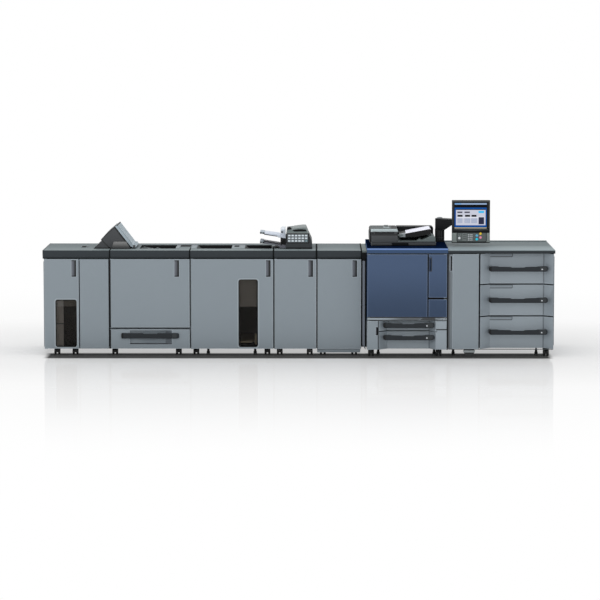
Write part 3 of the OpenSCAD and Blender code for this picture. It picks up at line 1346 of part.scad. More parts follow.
// Four drum units in a row under the transfer belt
module imaging_units() {
  y0 = process_y + sheet_t + seam;
  y1 = y0 + process_l;
  drum_z = belt_z - drum_r - seam;
  for (i = [0:3]) {
    x = process_x + 4 * rail + i * drum_pitch;
    color(soft_black)
      block([x - drum_r, y0, drum_z - 5 * drum_r], [x + drum_r * 1.4, y1, drum_z - drum_r - seam]);
    color([0.20, 0.45, 0.35]) rod_y(x, drum_z, drum_r, y0, y1);
  }
  color(soft_black)
    prism_xz(round_rect(process_x + rail, process_x + 5 * rail + 3.4 * drum_pitch, belt_z,
        belt_z + 3 * rail, rail), y0, y1);
}

// Four toner bottles on the shelf behind the toner door
module toner_bottles() {
  y0 = engine_y + frame_set + rail + seam;
  for (i = [0:3])
    color([0.16, 0.17, 0.18])
      rod_y(toner_x + bottle_r + 2 * (i % 2) * (bottle_r + seam),
          toner_door_foot + bottle_r + 2 * floor(i / 2) * (bottle_r + seam),
            bottle_r, y0, y0 + process_l);
}

// Fuser: a heated roller over a pressure roller, on shafts that run in the two process plates
module fuser_roller(z) {
  y0 = process_y;
  y1 = process_y + process_l + 2 * sheet_t + 2 * seam;
  rod_y(fuser_x, z, fuser_r, y0 + sheet_t + leaf_gap, y1 - sheet_t - leaf_gap);
  rod_y(fuser_x, z, shaft_r, y0, y1);
}
module fuser_upper_roller() color([0.55, 0.30, 0.22]) fuser_roller(path_z + fuser_r + seam / 2);
module fuser_lower_roller() color([0.35, 0.30, 0.28]) fuser_roller(path_z - fuser_r - seam / 2);

binder_cabinet();
stacker_cabinet();
folder_cabinet();
relay_cabinet();
docking_duct();
engine_cabinet();
engine_upper_shell();
feeder_cabinet();
feeder_worktop();
binder_top_cover();
stacker_top_cover();
transport_top_covers();
binder_window_door();
binder_window_pane();
binder_main_door();
stacker_door();
stacker_window_pane();
folder_door();
relay_door();
engine_main_door();
toner_door();
waste_toner_door();
engine_side_door();
feeder_door();
binder_drawer();
binder_drawer_grip();
engine_upper_drawer();
engine_upper_grip();
engine_lower_drawer();
engine_lower_grip();
feeder_top_drawer();
feeder_top_grip();
feeder_middle_drawer();
feeder_middle_grip();
feeder_bottom_drawer();
feeder_bottom_grip();
book_exit_hood();
book_exit_lid();
inserter_body();
inserter_trays();
inserter_keys();
scanner_base();
scanner_lid();
adf_cover();
adf_tray();
panel_post();
panel_arm();
panel_housing();
panel_screen();
panel_keys();
casters();
finisher_front_wheels();
finisher_rear_wheels();
printer_front_wheels();
printer_rear_wheels();
stack_platform();
imaging_units();
toner_bottles();
fuser_upper_roller();
fuser_lower_roller();
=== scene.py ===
import bpy
import bmesh
import json
import math
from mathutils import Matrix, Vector


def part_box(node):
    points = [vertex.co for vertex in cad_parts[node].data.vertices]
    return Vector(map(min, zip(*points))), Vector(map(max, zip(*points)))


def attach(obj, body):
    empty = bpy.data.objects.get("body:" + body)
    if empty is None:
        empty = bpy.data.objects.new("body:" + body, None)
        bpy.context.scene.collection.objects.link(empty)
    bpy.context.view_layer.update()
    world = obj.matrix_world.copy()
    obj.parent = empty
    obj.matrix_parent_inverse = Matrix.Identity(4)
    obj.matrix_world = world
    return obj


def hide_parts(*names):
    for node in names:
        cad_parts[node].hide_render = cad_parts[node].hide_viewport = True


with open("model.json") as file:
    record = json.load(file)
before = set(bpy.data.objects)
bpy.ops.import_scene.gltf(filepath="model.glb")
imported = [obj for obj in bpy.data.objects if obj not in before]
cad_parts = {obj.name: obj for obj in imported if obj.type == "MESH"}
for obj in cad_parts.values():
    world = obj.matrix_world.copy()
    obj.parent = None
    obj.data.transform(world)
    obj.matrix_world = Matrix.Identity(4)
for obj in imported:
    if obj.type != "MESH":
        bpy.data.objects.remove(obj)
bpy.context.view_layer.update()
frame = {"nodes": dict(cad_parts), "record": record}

nodes = frame["nodes"]
bodies = frame["record"]["behaviour"]["bodies"]
bodyOf = {node: body for body, held in bodies.items() for node in held}
print("frame loaded:", len(nodes), "nodes")


def linear(colour):
    # three numbers are a screen colour, four are what the shader takes
    if isinstance(colour, Wire) or len(colour) == 4:
        return colour
    return tuple(c / 12.92 if c < 0.04045 else ((c + 0.055) / 1.055) ** 2.4 for c in colour) + (1,)


def shade(colour, factor):
    return tuple(c * factor for c in colour[:3]) + (1,)


def grey(value):
    return (value,) * 3 + (1,)


class Wire:
    # one socket of a material; an expression on wires adds the nodes that work it out
    def __init__(self, tree, socket=None):
        self.tree, self.socket = tree, socket

    def add(self, kind, inputs=None, out=0, **settings):
        made = self.tree.nodes.new("ShaderNode" + kind)
        for name, value in settings.items():
            setattr(made, name, value)
        for name, value in (inputs or {}).items():
            if isinstance(value, Wire):
                self.tree.links.new(value.socket, made.inputs[name])
            else:
                made.inputs[name].default_value = value
        return Wire(self.tree, made.outputs[out])

    def sum(self, how, a, b=0.0):
        return self.add("Math", {0: a, 1: b}, operation=how)

    def blend(self, mask, low, high, how="MIX"):
        # colour between low and high
        return self.add("Mix", {0: mask, 6: linear(low), 7: linear(high)}, 2, data_type="RGBA",
                        blend_type=how)

    def over(self, limit):
        return self.sum("GREATER_THAN", self, limit)

    def between(self, low, high):
        # 1 where this value lies between two limits
        return self.over(low) * (1 - self.over(high))

    def most(self, other):
        return self.sum("MAXIMUM", self, other)

    def ease(self, low, high):
        # runs from 0 at low to 1 at high
        return self.add("MapRange", {0: self, 1: low, 2: high, 3: 0, 4: 1}, interpolation_type="SMOOTHSTEP")


for sign, how in {"add": "ADD", "sub": "SUBTRACT", "mul": "MULTIPLY", "truediv": "DIVIDE"}.items():
    setattr(Wire, f"__{sign}__", lambda self, other, how=how: self.sum(how, self, other))
    setattr(Wire, f"__r{sign}__", lambda self, other, how=how: self.sum(how, other, self))


class Look:
    # a new material with its place in millimetres, its axes and its shader ready for wiring
    def __init__(self, name, **fixed):
        self.material = bpy.data.materials.new(name)
        self.material.use_nodes = True
        tree = self.material.node_tree
        self.shader = tree.nodes["Principled BSDF"]
        self.wire = Wire(tree)
        self.place = self.wire.add("TexCoord", out=3)
        self.x, self.y, self.z = (1000 * self.wire.add("SeparateXYZ", {0: self.place}, i) for i in range(3))
        for key, value in fixed.items():
            self.shader.inputs[key.replace("_", " ")].default_value = value

    def noise(self, scale, detail=2.0, stretch=None):
        place = self.wire.add("Mapping", {0: self.place, 3: stretch}) if stretch else self.place
        return self.wire.add("TexNoise", {"Vector": place, "Scale": scale, "Detail": detail})

    def facing(self, axis):
        return self.wire.add("SeparateXYZ", {0: self.wire.add("TexCoord", out=1)}, axis)

    def inRect(self, x0, x1, z0, z1):
        return self.x.between(x0, x1) * self.z.between(z0, z1)

    def inRound(self, x, z, r):
        return 1 - ((self.x - x) * (self.x - x) + (self.z - z) * (self.z - z)).over(r * r)

    def read(self, colour):
        # a colour may be a function that works it out for this material
        return colour(self) if callable(colour) else linear(colour)

    def put(self, name, wire):
        self.wire.tree.links.new(wire.socket, self.shader.inputs[name])

    def bump(self, height, depth, strength):
        self.put("Normal", self.wire.add("Bump", {"Strength": strength, "Distance": depth, "Height": height}))

    def speckled(self, colour, grain, drift, rough, depth, strength):
        # colour with fine mottling, uneven gloss and a moulded or sprayed grain
        speck, cloud = self.noise(grain, 3), self.noise(2.2, 3)
        mottle = cloud * 0.6 + speck * 0.4
        if isinstance(colour, Wire):
            dim = self.wire.blend(mottle, grey(1 - drift), grey(1))
            colour = self.wire.blend(1.0, colour, dim, "MULTIPLY")
        else:
            colour = self.wire.blend(mottle, shade(colour, 1 - drift), shade(colour, 1 + drift))
        self.put("Base Color", colour)
        self.put("Roughness", rough - 0.06 + 0.12 * speck)
        self.bump(speck, depth, strength)
        return self.material


turned = {"x": lambda u, v, w: (w, u, v), "y": lambda u, v, w: (u, w, v), "z": lambda u, v, w: (u, v, w)}


def solid(part, soften, steps=2):
    # rounds off a bmesh and hands it on as a mesh; all solids are typed in millimetres
    bmesh.ops.recalc_face_normals(part, faces=part.faces)
    if soften:
        sharp = [e for e in part.edges if len(e.link_faces) == 2 and e.calc_face_angle() > 0.5]
        bmesh.ops.bevel(part, geom=sharp, offset=soften, segments=steps, profile=0.7, affect="EDGES",
                        clamp_overlap=True)
    for face in part.faces:
        face.smooth = True
    for edge in part.edges:
        if len(edge.link_faces) != 2 or edge.calc_face_angle() > 0.62:
            edge.smooth = False
    mesh = bpy.data.meshes.new("solid")
    part.to_mesh(mesh)
    part.free()
    return mesh


def box(x0, x1, y0, y1, z0, z1, soften=0.0):
    part = bmesh.new()
    bmesh.ops.create_cube(part, size=1)
    for v in part.verts:
        v.co = Vector(((x0 + x1) / 2 + v.co.x * (x1 - x0), (y0 + y1) / 2 + v.co.y * (y1 - y0),
                       (z0 + z1) / 2 + v.co.z * (z1 - z0)))
    return solid(part, soften)


def skin(loops, soften, steps=2, closed=False):
    # faces between neighbouring loops of points; closed joins the last to the first, else both are capped
    part = bmesh.new()
    loops = [[part.verts.new(point) for point in loop] for loop in loops]
    if not closed:
        part.faces.new(loops[0])
        part.faces.new(loops[-1])
    count = len(loops[0])
    for low, high in zip(loops, loops[1:] + (loops[:1] if closed else [])):
        for i in range(count):
            j = (i + 1) % count
            part.faces.new((low[i], low[j], high[j], high[i]))
    return solid(part, soften, steps)


def prism(points, axis, low, high, soften=0.0, steps=2):
    return skin([[turned[axis](u, v, w) for u, v in points] for w in (low, high)], soften, steps)


def lathe(profile, at, axis="y", steps=32):
    # profile is a list of (radius, place along the axis)
    angles = [2 * math.pi * i / steps for i in range(steps)]
    return skin([[Vector(at) + Vector(turned[axis](r * math.cos(a), r * math.sin(a), along)) for a in angles]
                 for r, along in profile], 0)


def ring(outer, inner, axis, low, high, soften=0.3):
    # outer and inner are loops with the same number of points
    corners = (outer, low), (inner, low), (inner, high), (outer, high)
    return skin([[turned[axis](u, v, w) for u, v in line] for line, w in corners], soften, closed=True)


def rim(x0, x1, z0, z1, r, wide, y0, y1, soften=0.3):
    # a flat frame with round corners, facing the front
    inner = roundRect(x0 + wide, x1 - wide, z0 + wide, z1 - wide, max(r - wide, 0.4))
    return ring(roundRect(x0, x1, z0, z1, r), inner, "y", y0, y1, soften)


def sheet(x0, x1, z0, z1, y0, y1, rows):
    # a flat plate with rows of holes; a row is its low edge, its high edge and its holes
    parts, level = [], z0
    for low, high, gaps in rows:
        parts.append(box(x0, x1, y0, y1, level, low))
        sides = [x0, *(side for gap in gaps for side in gap), x1]
        parts += [box(left, right, y0, y1, low, high) for left, right in zip(sides[::2], sides[1::2])]
        level = high
    return parts + [box(x0, x1, y0, y1, level, z1)]


def band(a, b, wide, y0, y1):
    # a strip of even width between two points of the x-z plane
    dx, dz = b[0] - a[0], b[1] - a[1]
    long = math.hypot(dx, dz)
    ux, uz = -dz / long * wide / 2, dx / long * wide / 2
    return prism([(a[0] + ux, a[1] + uz), (b[0] + ux, b[1] + uz), (b[0] - ux, b[1] - uz),
                  (a[0] - ux, a[1] - uz)], "y", y0, y1)


def made(name, look, slot, *parts, on=None, replaced=()):
    # one visible piece out of solids, on the body of the CAD node that it goes with
    body = bodyOf[on] if on else "line_frame"
    whole = bmesh.new()
    for part in parts:
        whole.from_mesh(part)
        bpy.data.meshes.remove(part)
    bmesh.ops.scale(whole, vec=(0.001, 0.001, 0.001), verts=whole.verts)
    mesh = bpy.data.meshes.new(name)
    whole.to_mesh(mesh)
    whole.free()
    piece = bpy.data.objects.new(name, mesh)
    bpy.context.scene.collection.objects.link(piece)
    mesh.materials.append(look)
    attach(piece, body)
    if replaced:
        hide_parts(*replaced)


def arcLine(cx, cz, r, start, end, steps=5):
    # points on a circle from one angle to another, in degrees
    turns = [math.radians(start + (end - start) * i / steps) for i in range(steps + 1)]
    return [(cx + r * math.cos(a), cz + r * math.sin(a)) for a in turns]


def roundRect(x0, x1, z0, z1, r, steps=6):
    corners = ((x1 - r, z1 - r), (x0 + r, z1 - r), (x0 + r, z0 + r), (x1 - r, z0 + r))
    return [p for i, (x, z) in enumerate(corners) for p in arcLine(x, z, r, 90 * i, 90 * i + 90, steps)]


def edges(name):
    # a node's left, right, front, back, foot and head in millimetres
    low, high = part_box(name)
    return [1000 * v for pair in zip(low, high) for v in pair]


# camera, floor and light
view = {"place": (0.1576, -26.8986, 3.3399), "pitch": 0.105542, "heading": 0.005325, "lens": 169.75}
camera = bpy.data.objects.new("camera", bpy.data.cameras.new("camera"))
camera.location = view["place"]
camera.rotation_euler = (math.pi / 2 - view["pitch"], 0, view["heading"])
camera.data.lens = view["lens"]
camera.data.sensor_width = 36
camera.data.clip_start, camera.data.clip_end = 1, 400
bpy.context.scene.collection.objects.link(camera)
bpy.context.scene.camera = camera

# studio settings; the floor's painted shadow under the machine and the painted light seen behind it are set
# here too
studio = {"worldLight": 0.80, "floorTone": 0.93, "whiteFrom": 0.5, "whiteTo": 2.4, "mirror": 0.26,
          "mirrorEnd": 6.0, "mirrorRough": 0.05, "paintedShadow": 0.05, "paintedFloorLight": 0.5, "dim": 0.02}


def seenRays(wire):
    # rays of the camera, of mirrors and through glass
    camera, glossy, through = (wire.add("LightPath", out=f"Is {kind} Ray")
                               for kind in ("Camera", "Glossy", "Transmission"))
    return camera.most(glossy).most(through)


world = bpy.data.worlds.new("studio")
bpy.context.scene.world = world
world.use_nodes = True
sky = Wire(world.node_tree)
background = world.node_tree.nodes["Background"]
background.inputs["Color"].default_value = grey(1)
skyLight = seenRays(sky) * (1 - studio["worldLight"]) + studio["worldLight"]
world.node_tree.links.new(skyLight.socket, background.inputs["Strength"])

floorLook = Look("studioFloor", Roughness=0.9, Specular_IOR_Level=0.1)
wire = floorLook.wire
acrossX, acrossY = (wire.sum("ABSOLUTE", axis) for axis in (floorLook.x, floorLook.y))
alongside = 1 - acrossX.ease(2340, 2410)
# painted shadow: the floor's colour turned dark under the front of the machine; painted light: a white glow,
# seen only by camera rays, on the floor showing behind it under the machine
paintedShadow = alongside * floorLook.y.ease(-612, -542) * (1 - floorLook.y.ease(-250, -120))
paintedFloorLight = alongside * floorLook.y.ease(-250, -120) * (1 - floorLook.y.ease(380, 420))
pale = wire.blend(floorLook.noise(0.7), grey(studio["floorTone"]), grey(studio["floorTone"] + 0.02))
floorLook.put("Base Color", wire.blend(paintedShadow, pale, grey(studio["paintedShadow"])))
away = (acrossX / 1000 - 2.4).most(0)
beside = (acrossY / 1000 - 0.5).most(0)
gone = wire.sum("SQRT", away * away + beside * beside)
white = wire.add("Emission", {"Color": grey(1), "Strength": 1.0})
mirror = wire.add("BsdfGlossy", {"Roughness": studio["mirrorRough"]})
matt = Wire(wire.tree, floorLook.shader.outputs[0])
bright = gone.ease(studio["whiteFrom"], studio["whiteTo"])
bright = bright.most(paintedFloorLight * studio["paintedFloorLight"]).most(paintedShadow * studio["dim"])
pale = wire.add("MixShader", {0: bright * seenRays(wire), 1: matt, 2: white})
shine = (1 - gone.ease(0.0, studio["mirrorEnd"])) * (1 - paintedShadow * 0.8) * (1 - paintedFloorLight) * studio["mirror"]
surface = wire.add("MixShader", {0: shine * wire.add("LightPath", out="Is Camera Ray"), 1: pale, 2: mirror})
wire.tree.links.new(surface.socket, wire.tree.nodes["Material Output"].inputs["Surface"])
floorMesh = bpy.data.meshes.new("floor")
floorMesh.from_pydata([(-60, -60, 0), (60, -60, 0), (60, 90, 0), (-60, 90, 0)], [], [(0, 1, 2, 3)])
floor = bpy.data.objects.new("floor", floorMesh)
bpy.context.scene.collection.objects.link(floor)
floorMesh.materials.append(floorLook.material)


def lamp(name, place, aim, size, power):
    made = bpy.data.objects.new(name, bpy.data.lights.new(name, "AREA"))
    made.data.shape = "RECTANGLE"
    made.data.size, made.data.size_y = size
    made.data.energy = power
    made.location = place
    made.rotation_euler = (Vector(aim) - Vector(place)).to_track_quat("-Z", "Y").to_euler()
    bpy.context.scene.collection.objects.link(made)


lamp("overheadLamp", (0, -0.5, 6), (0, 0, 0), (9, 4), 90)
lamp("frontLamp", (-3, -10, 4.5), (0, 0, 0.6), (8, 4), 160)
bpy.context.scene.view_settings.view_transform = "Standard"
print("camera, floor and lamps set")


def painted(name, base, layers=(), grain=900, drift=0.04, rough=0.5, shine=0.5, depth=0.0003, strength=0.3):
    # a base colour with further colours laid over it, each where its mask says
    look = Look(name, Specular_IOR_Level=shine)
    colour = look.read(base)
    for mask, laid in layers:
        colour = look.wire.blend(mask(look), colour, look.read(laid))
    return look.speckled(colour, grain, drift, rough, depth, strength)


def sprayed(name, base, layers=(), shine=0.5):
    return painted(name, base, layers, 650, 0.025, 0.48, shine, strength=0.25)


def gloss(name, colour, rough, layers=()):
    return painted(name, colour, layers, 300, 0.06, rough, depth=0.0002, strength=0.1)


# masks and fades that a material reads when it is made
def over(axis, limit):
    return lambda look: getattr(look, axis).over(limit)


def under(axis, limit):
    return lambda look: 1 - getattr(look, axis).over(limit)


def within(axis, low, high):
    return lambda look: getattr(look, axis).between(low, high)


def outside(axis, low, high):
    return lambda look: 1 - getattr(look, axis).between(low, high)


def both(first, second):
    return lambda look: first(look) * second(look)


def fade(axis, low, high, first, last):
    return lambda look: look.wire.blend(getattr(look, axis).ease(low, high), first, last)


# faces that point up; most looks below paint them lighter with it as painted light, a few darker as painted
# shade, and the tray of originals its own white top
def facingUp(look):
    return look.facing(2).ease(0.55, 0.9)


def louvres(x0, x1, z0, z1, pitch=24, share=0.45):
    # dark slots low on a rear wall: painted shade standing in for the openings of vents
    def mask(look):
        slot = look.wire.sum("FRACT", look.z / pitch)
        return look.inRect(x0, x1, z0, z1) * (1 - slot.over(share)) * look.y.over(503)
    return mask, finish["ink"]


finish = {
    "panel": (0.518, 0.557, 0.585),
    # the panel paint made lighter for the drawer fronts: painted light against the shade in their hollows
    "drawer": (0.565, 0.605, 0.635),
    # lighter edge colour: a painted highlight along the edges of doors, lips and rims
    "panelEdge": (0.61, 0.65, 0.68),
    "band": (0.215, 0.235, 0.25),
    # bandFoot: painted shade at the foot of the dark band of the covers and of the hood
    "bandFoot": (0.12, 0.135, 0.14),
    # topFront over topBack: a painted highlight, the covers' tops lighter towards the front
    "topFront": (0.49, 0.53, 0.54),
    "topBack": (0.415, 0.455, 0.465),
    # blueHead over blueFoot: painted light, the blue paint brighter towards the top
    "blueHead": (0.25, 0.327, 0.445),
    "blueFoot": (0.17, 0.244, 0.348),
    # lighter blue edge colour: a painted highlight along the edges of the blue doors
    "blueEdge": (0.36, 0.43, 0.54),
    # navy: painted shade on the engine's top, where it faces up
    "navy": (0.03, 0.08, 0.17),
    "blueShine": (0.44, 0.55, 0.75),
    "charcoal": (0.228, 0.24, 0.252),
    "ink": (0.075, 0.08, 0.085),
    "silver": (0.58, 0.63, 0.66),
    "grip": (0.165, 0.18, 0.195),
    "casing": (0.43, 0.47, 0.47),
}

panelLook = sprayed("panelCoat", finish["panel"], shine=0.35)
# painted highlights along the edges of doors, drawer lips, pocket lips and the scoop rim
edgeLook = sprayed("edgeHighlight", finish["panelEdge"])
blueEdgeLook = sprayed("blueEdgeHighlight", finish["blueEdge"])
bandLook = painted("bandPlastic", finish["band"])
charcoalLook = painted("charcoalPlastic", finish["charcoal"])
# painted light: grip, ink and caster steel are lighter where they face up; the silver plastic is darker
# there, as painted shade
gripLook = painted("gripPlastic", finish["grip"], [(facingUp, (0.33, 0.35, 0.37))], 1200, 0.06, shine=0.15)
inkLook = painted("inkPlastic", finish["ink"], [(facingUp, (0.15, 0.155, 0.16))], drift=0.08, shine=0.2)
silverLook = painted("silverPlastic", finish["silver"], [(facingUp, (0.52, 0.57, 0.60))], 900, 0.03, 0.42)
casingLook = painted("casingPlastic", finish["casing"], rough=0.48)
beigeLook = sprayed("platformCoat", (0.80, 0.74, 0.62))
topLitSteel = painted("blackenedSteel", (0.16, 0.165, 0.17), [(facingUp, (0.24, 0.245, 0.25))], 500, 0.1, 0.45)
tyreLook = painted("tyreRubber", (0.10, 0.10, 0.105), (), 700, 0.25, 0.65, depth=0.0006, strength=0.4)


def coverLook(name, foot, back, front=finish["topFront"]):
    # top covers: painted light on the faces that point up with a painted highlight brightening them towards
    # the front, a dark rim with painted shade deepening towards its foot, and charcoal behind the back edge
    rim = fade("z", foot - 4, foot + 26, finish["bandFoot"], finish["band"])
    top = fade("y", -374, 200, front, finish["topBack"])
    return painted(name, rim, [(facingUp, top), (over("y", back), finish["charcoal"])], 900, 0.03, 0.6, 0.1)


def blueCoat(name, layers=(), shine=0.3):
    # painted light: the blue paint brightens towards the top
    base = fade("z", 380, 900, finish["blueFoot"], finish["blueHead"])
    return painted(name, base, layers, 650, 0.03, 0.4, shine)


def brushed(name, low, high, rough=0.32):
    look = Look(name, Metallic=0.9)
    line = look.noise(60, 3, (1, 1, 14))
    look.put("Base Color", look.wire.blend(line, low, high))
    look.put("Roughness", rough + 0.16 * line)
    look.bump(line, 0.0003, 0.2)
    return look.material


def smokeLook():
    look = Look("smokedPane", Roughness=0.12, IOR=1.45, Specular_IOR_Level=0.12)
    cloud = look.noise(5, 2)
    look.put("Base Color", look.wire.blend(cloud, (0.095, 0.088, 0.078), (0.115, 0.105, 0.095)))
    look.put("Alpha", 0.42 + 0.04 * cloud)
    return look.material


# the screen shows a plain menu; each field has its left, right, foot and head as shares, and its colour
screen = {
    "backlight": 0.86,
    "fields": [
        (0, 0.975, 0.928, 0.985, (0.62, 0.72, 0.86)), (0, 0.2, 0.935, 0.98, (0.45, 0.66, 0.88)),
        (0, 0.975, 0.82, 0.92, (0.03, 0.03, 0.04)), (0, 0.975, 0.052, 0.815, (0.05, 0.31, 0.62)),
        (0.045, 0.94, 0.722, 0.752, (0.08, 0.12, 0.18)), (0, 0.975, 0.004, 0.04, (0.76, 0.73, 0.66)),
        (0.045, 0.94, 0.128, 0.722, (0.84, 0.85, 0.91)), (0.08, 0.91, 0.40, 0.46, (0.92, 0.93, 0.98)),
        (0.085, 0.24, 0.60, 0.66, (0.34, 0.34, 0.40)), (0.30, 0.465, 0.60, 0.66, (0.34, 0.34, 0.40)),
        (0.725, 0.895, 0.60, 0.685, (0.26, 0.78, 1.0)), (0.73, 0.895, 0.165, 0.44, (0.18, 0.19, 0.29)),
        (0.09, 0.245, 0.455, 0.53, (0.04, 0.04, 0.05)), (0.32, 0.47, 0.455, 0.53, (0.04, 0.04, 0.05)),
        (0.515, 0.665, 0.455, 0.53, (0.04, 0.04, 0.05))],
    "columns": [(0.085, 0.24), (0.30, 0.48), (0.51, 0.68)],
}


def screenLook():
    x0, x1, y0, y1, z0, z1 = edges("panel_screen")
    look = Look("screenGlass", Roughness=0.2, Specular_IOR_Level=0.05, Emission_Strength=screen["backlight"])
    across, high = (look.x - x0) / (x1 - x0), (look.z - z0) / (z1 - z0)
    colour = (0.01, 0.012, 0.016, 1)
    for u0, u1, v0, v1, laid in screen["fields"]:
        colour = look.wire.blend(across.between(u0, u1) * high.between(v0, v1), colour, laid)
    stripe = look.wire.sum("FRACT", across * 34).over(0.45)
    for u0, u1 in screen["columns"]:
        mask = across.between(u0, u1) * high.between(0.208, 0.40) * stripe
        colour = look.wire.blend(mask, colour, (0.60, 0.66, 0.78))
    look.put("Emission Color", colour)
    glass = look.noise(90, 3)
    look.put("Base Color", look.wire.blend(glass, (0.02, 0.02, 0.03), (0.03, 0.035, 0.045)))
    look.bump(glass, 0.0001, 0.05)
    return look.material


# coloured buttons of the operation panel, by place and colour
buttons = [(1731.5, 1132.2, (0.98, 0.84, 0.16)), (1731.5, 1095.9, (1.0, 0.60, 0.72)),
           (1696.5, 1113.7, (0.40, 0.74, 0.90)), (1696.5, 1080.0, (0.06, 0.90, 1.0)),
           (1530.5, 1089.9, (0.94, 0.95, 0.96))]
keyLayers = [(lambda look, x=x, z=z: look.inRound(x, z, 13), colour) for x, z, colour in buttons]
tealKey = [(lambda look: look.inRect(63, 86, 1066, 1082), (0.25, 0.47, 0.50)),
           (lambda look: look.inRound(74, 1074, 4), (0.93, 0.85, 0.92))]

# the feeder's left strip lies in the shade of the engine
feederEdge = (both(within("x", 1398, 1446), under("y", -465)),
              fade("x", 1408, 1444, (0.27, 0.285, 0.30), (0.44, 0.475, 0.50)))
# docking duct: painted shade darkening its sides beside the neighbouring cabinets, ink below its cap, and the
# cap painted lighter towards its top
ductLayers = [(over("x", 627), (0.13, 0.14, 0.15)), (under("x", 606), (0.13, 0.14, 0.15)),
              (within("z", 900, 979), finish["ink"]),
              (over("z", 979), fade("z", 979, 998, (0.36, 0.385, 0.38), (0.45, 0.49, 0.485)))]
# scanner lid: painted shade darkening its rounded left end, casing grey on its raised right part and ink at
# its back
lidLayers = [(both(over("z", 1074), over("x", 941)), finish["casing"]), (over("y", 178), finish["ink"]),
             (under("x", 676), finish["ink"])]
# cover of the feeder of originals: its pale base colour is a painted highlight on the upper front, its top a
# darker grey, painted shade on its left end and on its front below z 1165, and ink at the back of its top on
# the right
coverLayers = [(facingUp, (0.27, 0.30, 0.305)),
               (both(both(facingUp, over("x", 880)), over("y", -215)), finish["ink"]),
               (under("x", 684), (0.17, 0.18, 0.185)),
               (lambda look: (1 - look.facing(1).over(-0.7)) * (1 - look.z.over(1165)), (0.20, 0.205, 0.21))]
# book exit hood: painted shade in a dark band along its foot, and painted shade darkening its front towards
# the foot
hoodLayers = [(within("z", 997, 1010), finish["bandFoot"]),
              (under("y", -187), fade("z", 1000, 1066, finish["bandFoot"], (0.50, 0.50, 0.50)))]
trayLayers = [(facingUp, (0.93, 0.935, 0.98)), (under("x", 1012), (0.56, 0.59, 0.61)),
              (both(under("x", 1020), over("y", -130)), finish["ink"])]
# engine's upper shell: painted shade in a dark line along the foot of its band, a painted highlight on its
# rounded nose, painted shade turning its top navy, and dark vent slots
shellLayers = [(both(within("z", 968, 983), under("y", -470)), (0.12, 0.15, 0.21)),
               (over("z", 1014), finish["blueShine"]), (over("z", 1031), finish["navy"]),
               (facingUp, finish["navy"]), louvres(700, 1000, 700, 900), louvres(1080, 1340, 430, 620)]

# the look of each CAD node, by the end of its name; the rest, doors and cabinets, have panelLook
dress = {
    "binder_drawer": panelLook,
    # drawer fronts in the lighter paint: painted light against the shade in their hollows
    "_drawer": sprayed("drawerCoat", finish["drawer"]),
    "engine_cabinet": sprayed("engineCase", finish["panel"], [louvres(760, 1060, 110, 300)]),
    "feeder_cabinet": sprayed("feederCase", finish["panel"],
                              [feederEdge, louvres(1500, 1760, 700, 880), louvres(2050, 2310, 120, 300)]),
    # pale base: a painted highlight along the cover's front
    "adf_cover": painted("originalCover", (0.80, 0.85, 0.86), coverLayers, shine=0.1),
    ("_cover", "_covers"): coverLook("coverPlastic", 918, 405),
    "feeder_worktop": coverLook("worktopPlastic", 976, 503, (0.555, 0.605, 0.62)),
    "docking_duct": painted("ductPlastic", (0.47, 0.495, 0.535), ductLayers, shine=0.08),
    "book_exit_hood": painted("hoodPlastic", finish["charcoal"], hoodLayers, rough=0.55),
    # book exit lid: its front painted lighter than its tops as painted light, and dark above z 1216
    "book_exit_lid": painted("hoodLid", (0.66, 0.71, 0.74),
                             [(facingUp, finish["silver"]), (over("z", 1216), (0.15, 0.17, 0.17))],
                             shine=0.15),
    "inserter_body": painted("inserterCase", finish["casing"],
                             [(under("z", 1140), (0.23, 0.245, 0.255)), (under("z", 1012), finish["ink"])],
                             shine=0.2),
    "inserter_trays": painted("inserterTray", (0.80, 0.83, 0.88), [(under("z", 1085), (0.43, 0.435, 0.47))],
                              shine=0.2),
    "inserter_keys": painted("inserterKey", (0.86, 0.90, 0.93), tealKey, drift=0.03, rough=0.35),
    "scanner_base": charcoalLook,
    "scanner_lid": painted("lidPlastic", finish["charcoal"], lidLayers, shine=0.15),
    "adf_tray": painted("originalTray", finish["ink"], trayLayers, shine=0.2),
    # panel housing: painted lighter where it faces up, as painted light
    "panel_housing": painted("panelShell", (0.085, 0.095, 0.10), [(facingUp, (0.30, 0.31, 0.31))], shine=0.2),
    "panel_keys": painted("panelKey", (0.80, 0.82, 0.83), keyLayers, drift=0.03, rough=0.35),
    "panel_screen": screenLook(),
    ("panel_post", "panel_arm"): inkLook,
    "engine_upper_shell": blueCoat("blueShell", shellLayers, 0),
    ("engine_main_door", "toner_door"): blueCoat("blueDoor"),
    "_grip": gripLook,
    "_pane": smokeLook(),
    "_wheels": tyreLook,
    "casters": topLitSteel,
    "stack_platform": beigeLook,
    "imaging_units": gloss("drumCoat", (0.18, 0.19, 0.20), 0.35,
                           [(within("z", 575, 640), (0.16, 0.38, 0.34))]),
    "toner_bottles": gloss("tonerPlastic", (0.20, 0.205, 0.21), 0.4,
                           [(under("y", -415), (0.86, 0.88, 0.90))]),
    "fuser_upper_roller": gloss("fuserRed", (0.55, 0.30, 0.22), 0.4),
    "fuser_lower_roller": gloss("fuserBrown", (0.35, 0.30, 0.28), 0.4),
}
softenBy = {"feeder_worktop": 0.002, "binder_top_cover": 0.003, "stacker_top_cover": 0.003,
            "transport_top_covers": 0.003, "adf_cover": 0.004, "scanner_lid": 0.002, "inserter_body": 0.004}
for name, part in nodes.items():
    part.data.materials.clear()
    part.data.materials.append(next((look for end, look in dress.items() if name.endswith(end)), panelLook))
    weld = part.modifiers.new("weld", "WELD")
    weld.merge_threshold = 0.00002
    edge = part.modifiers.new("edge", "BEVEL")
    edge.width = softenBy.get(name, 0.0015)
    edge.segments = 2
    edge.limit_method = "ANGLE"
    edge.angle_limit = math.radians(40)
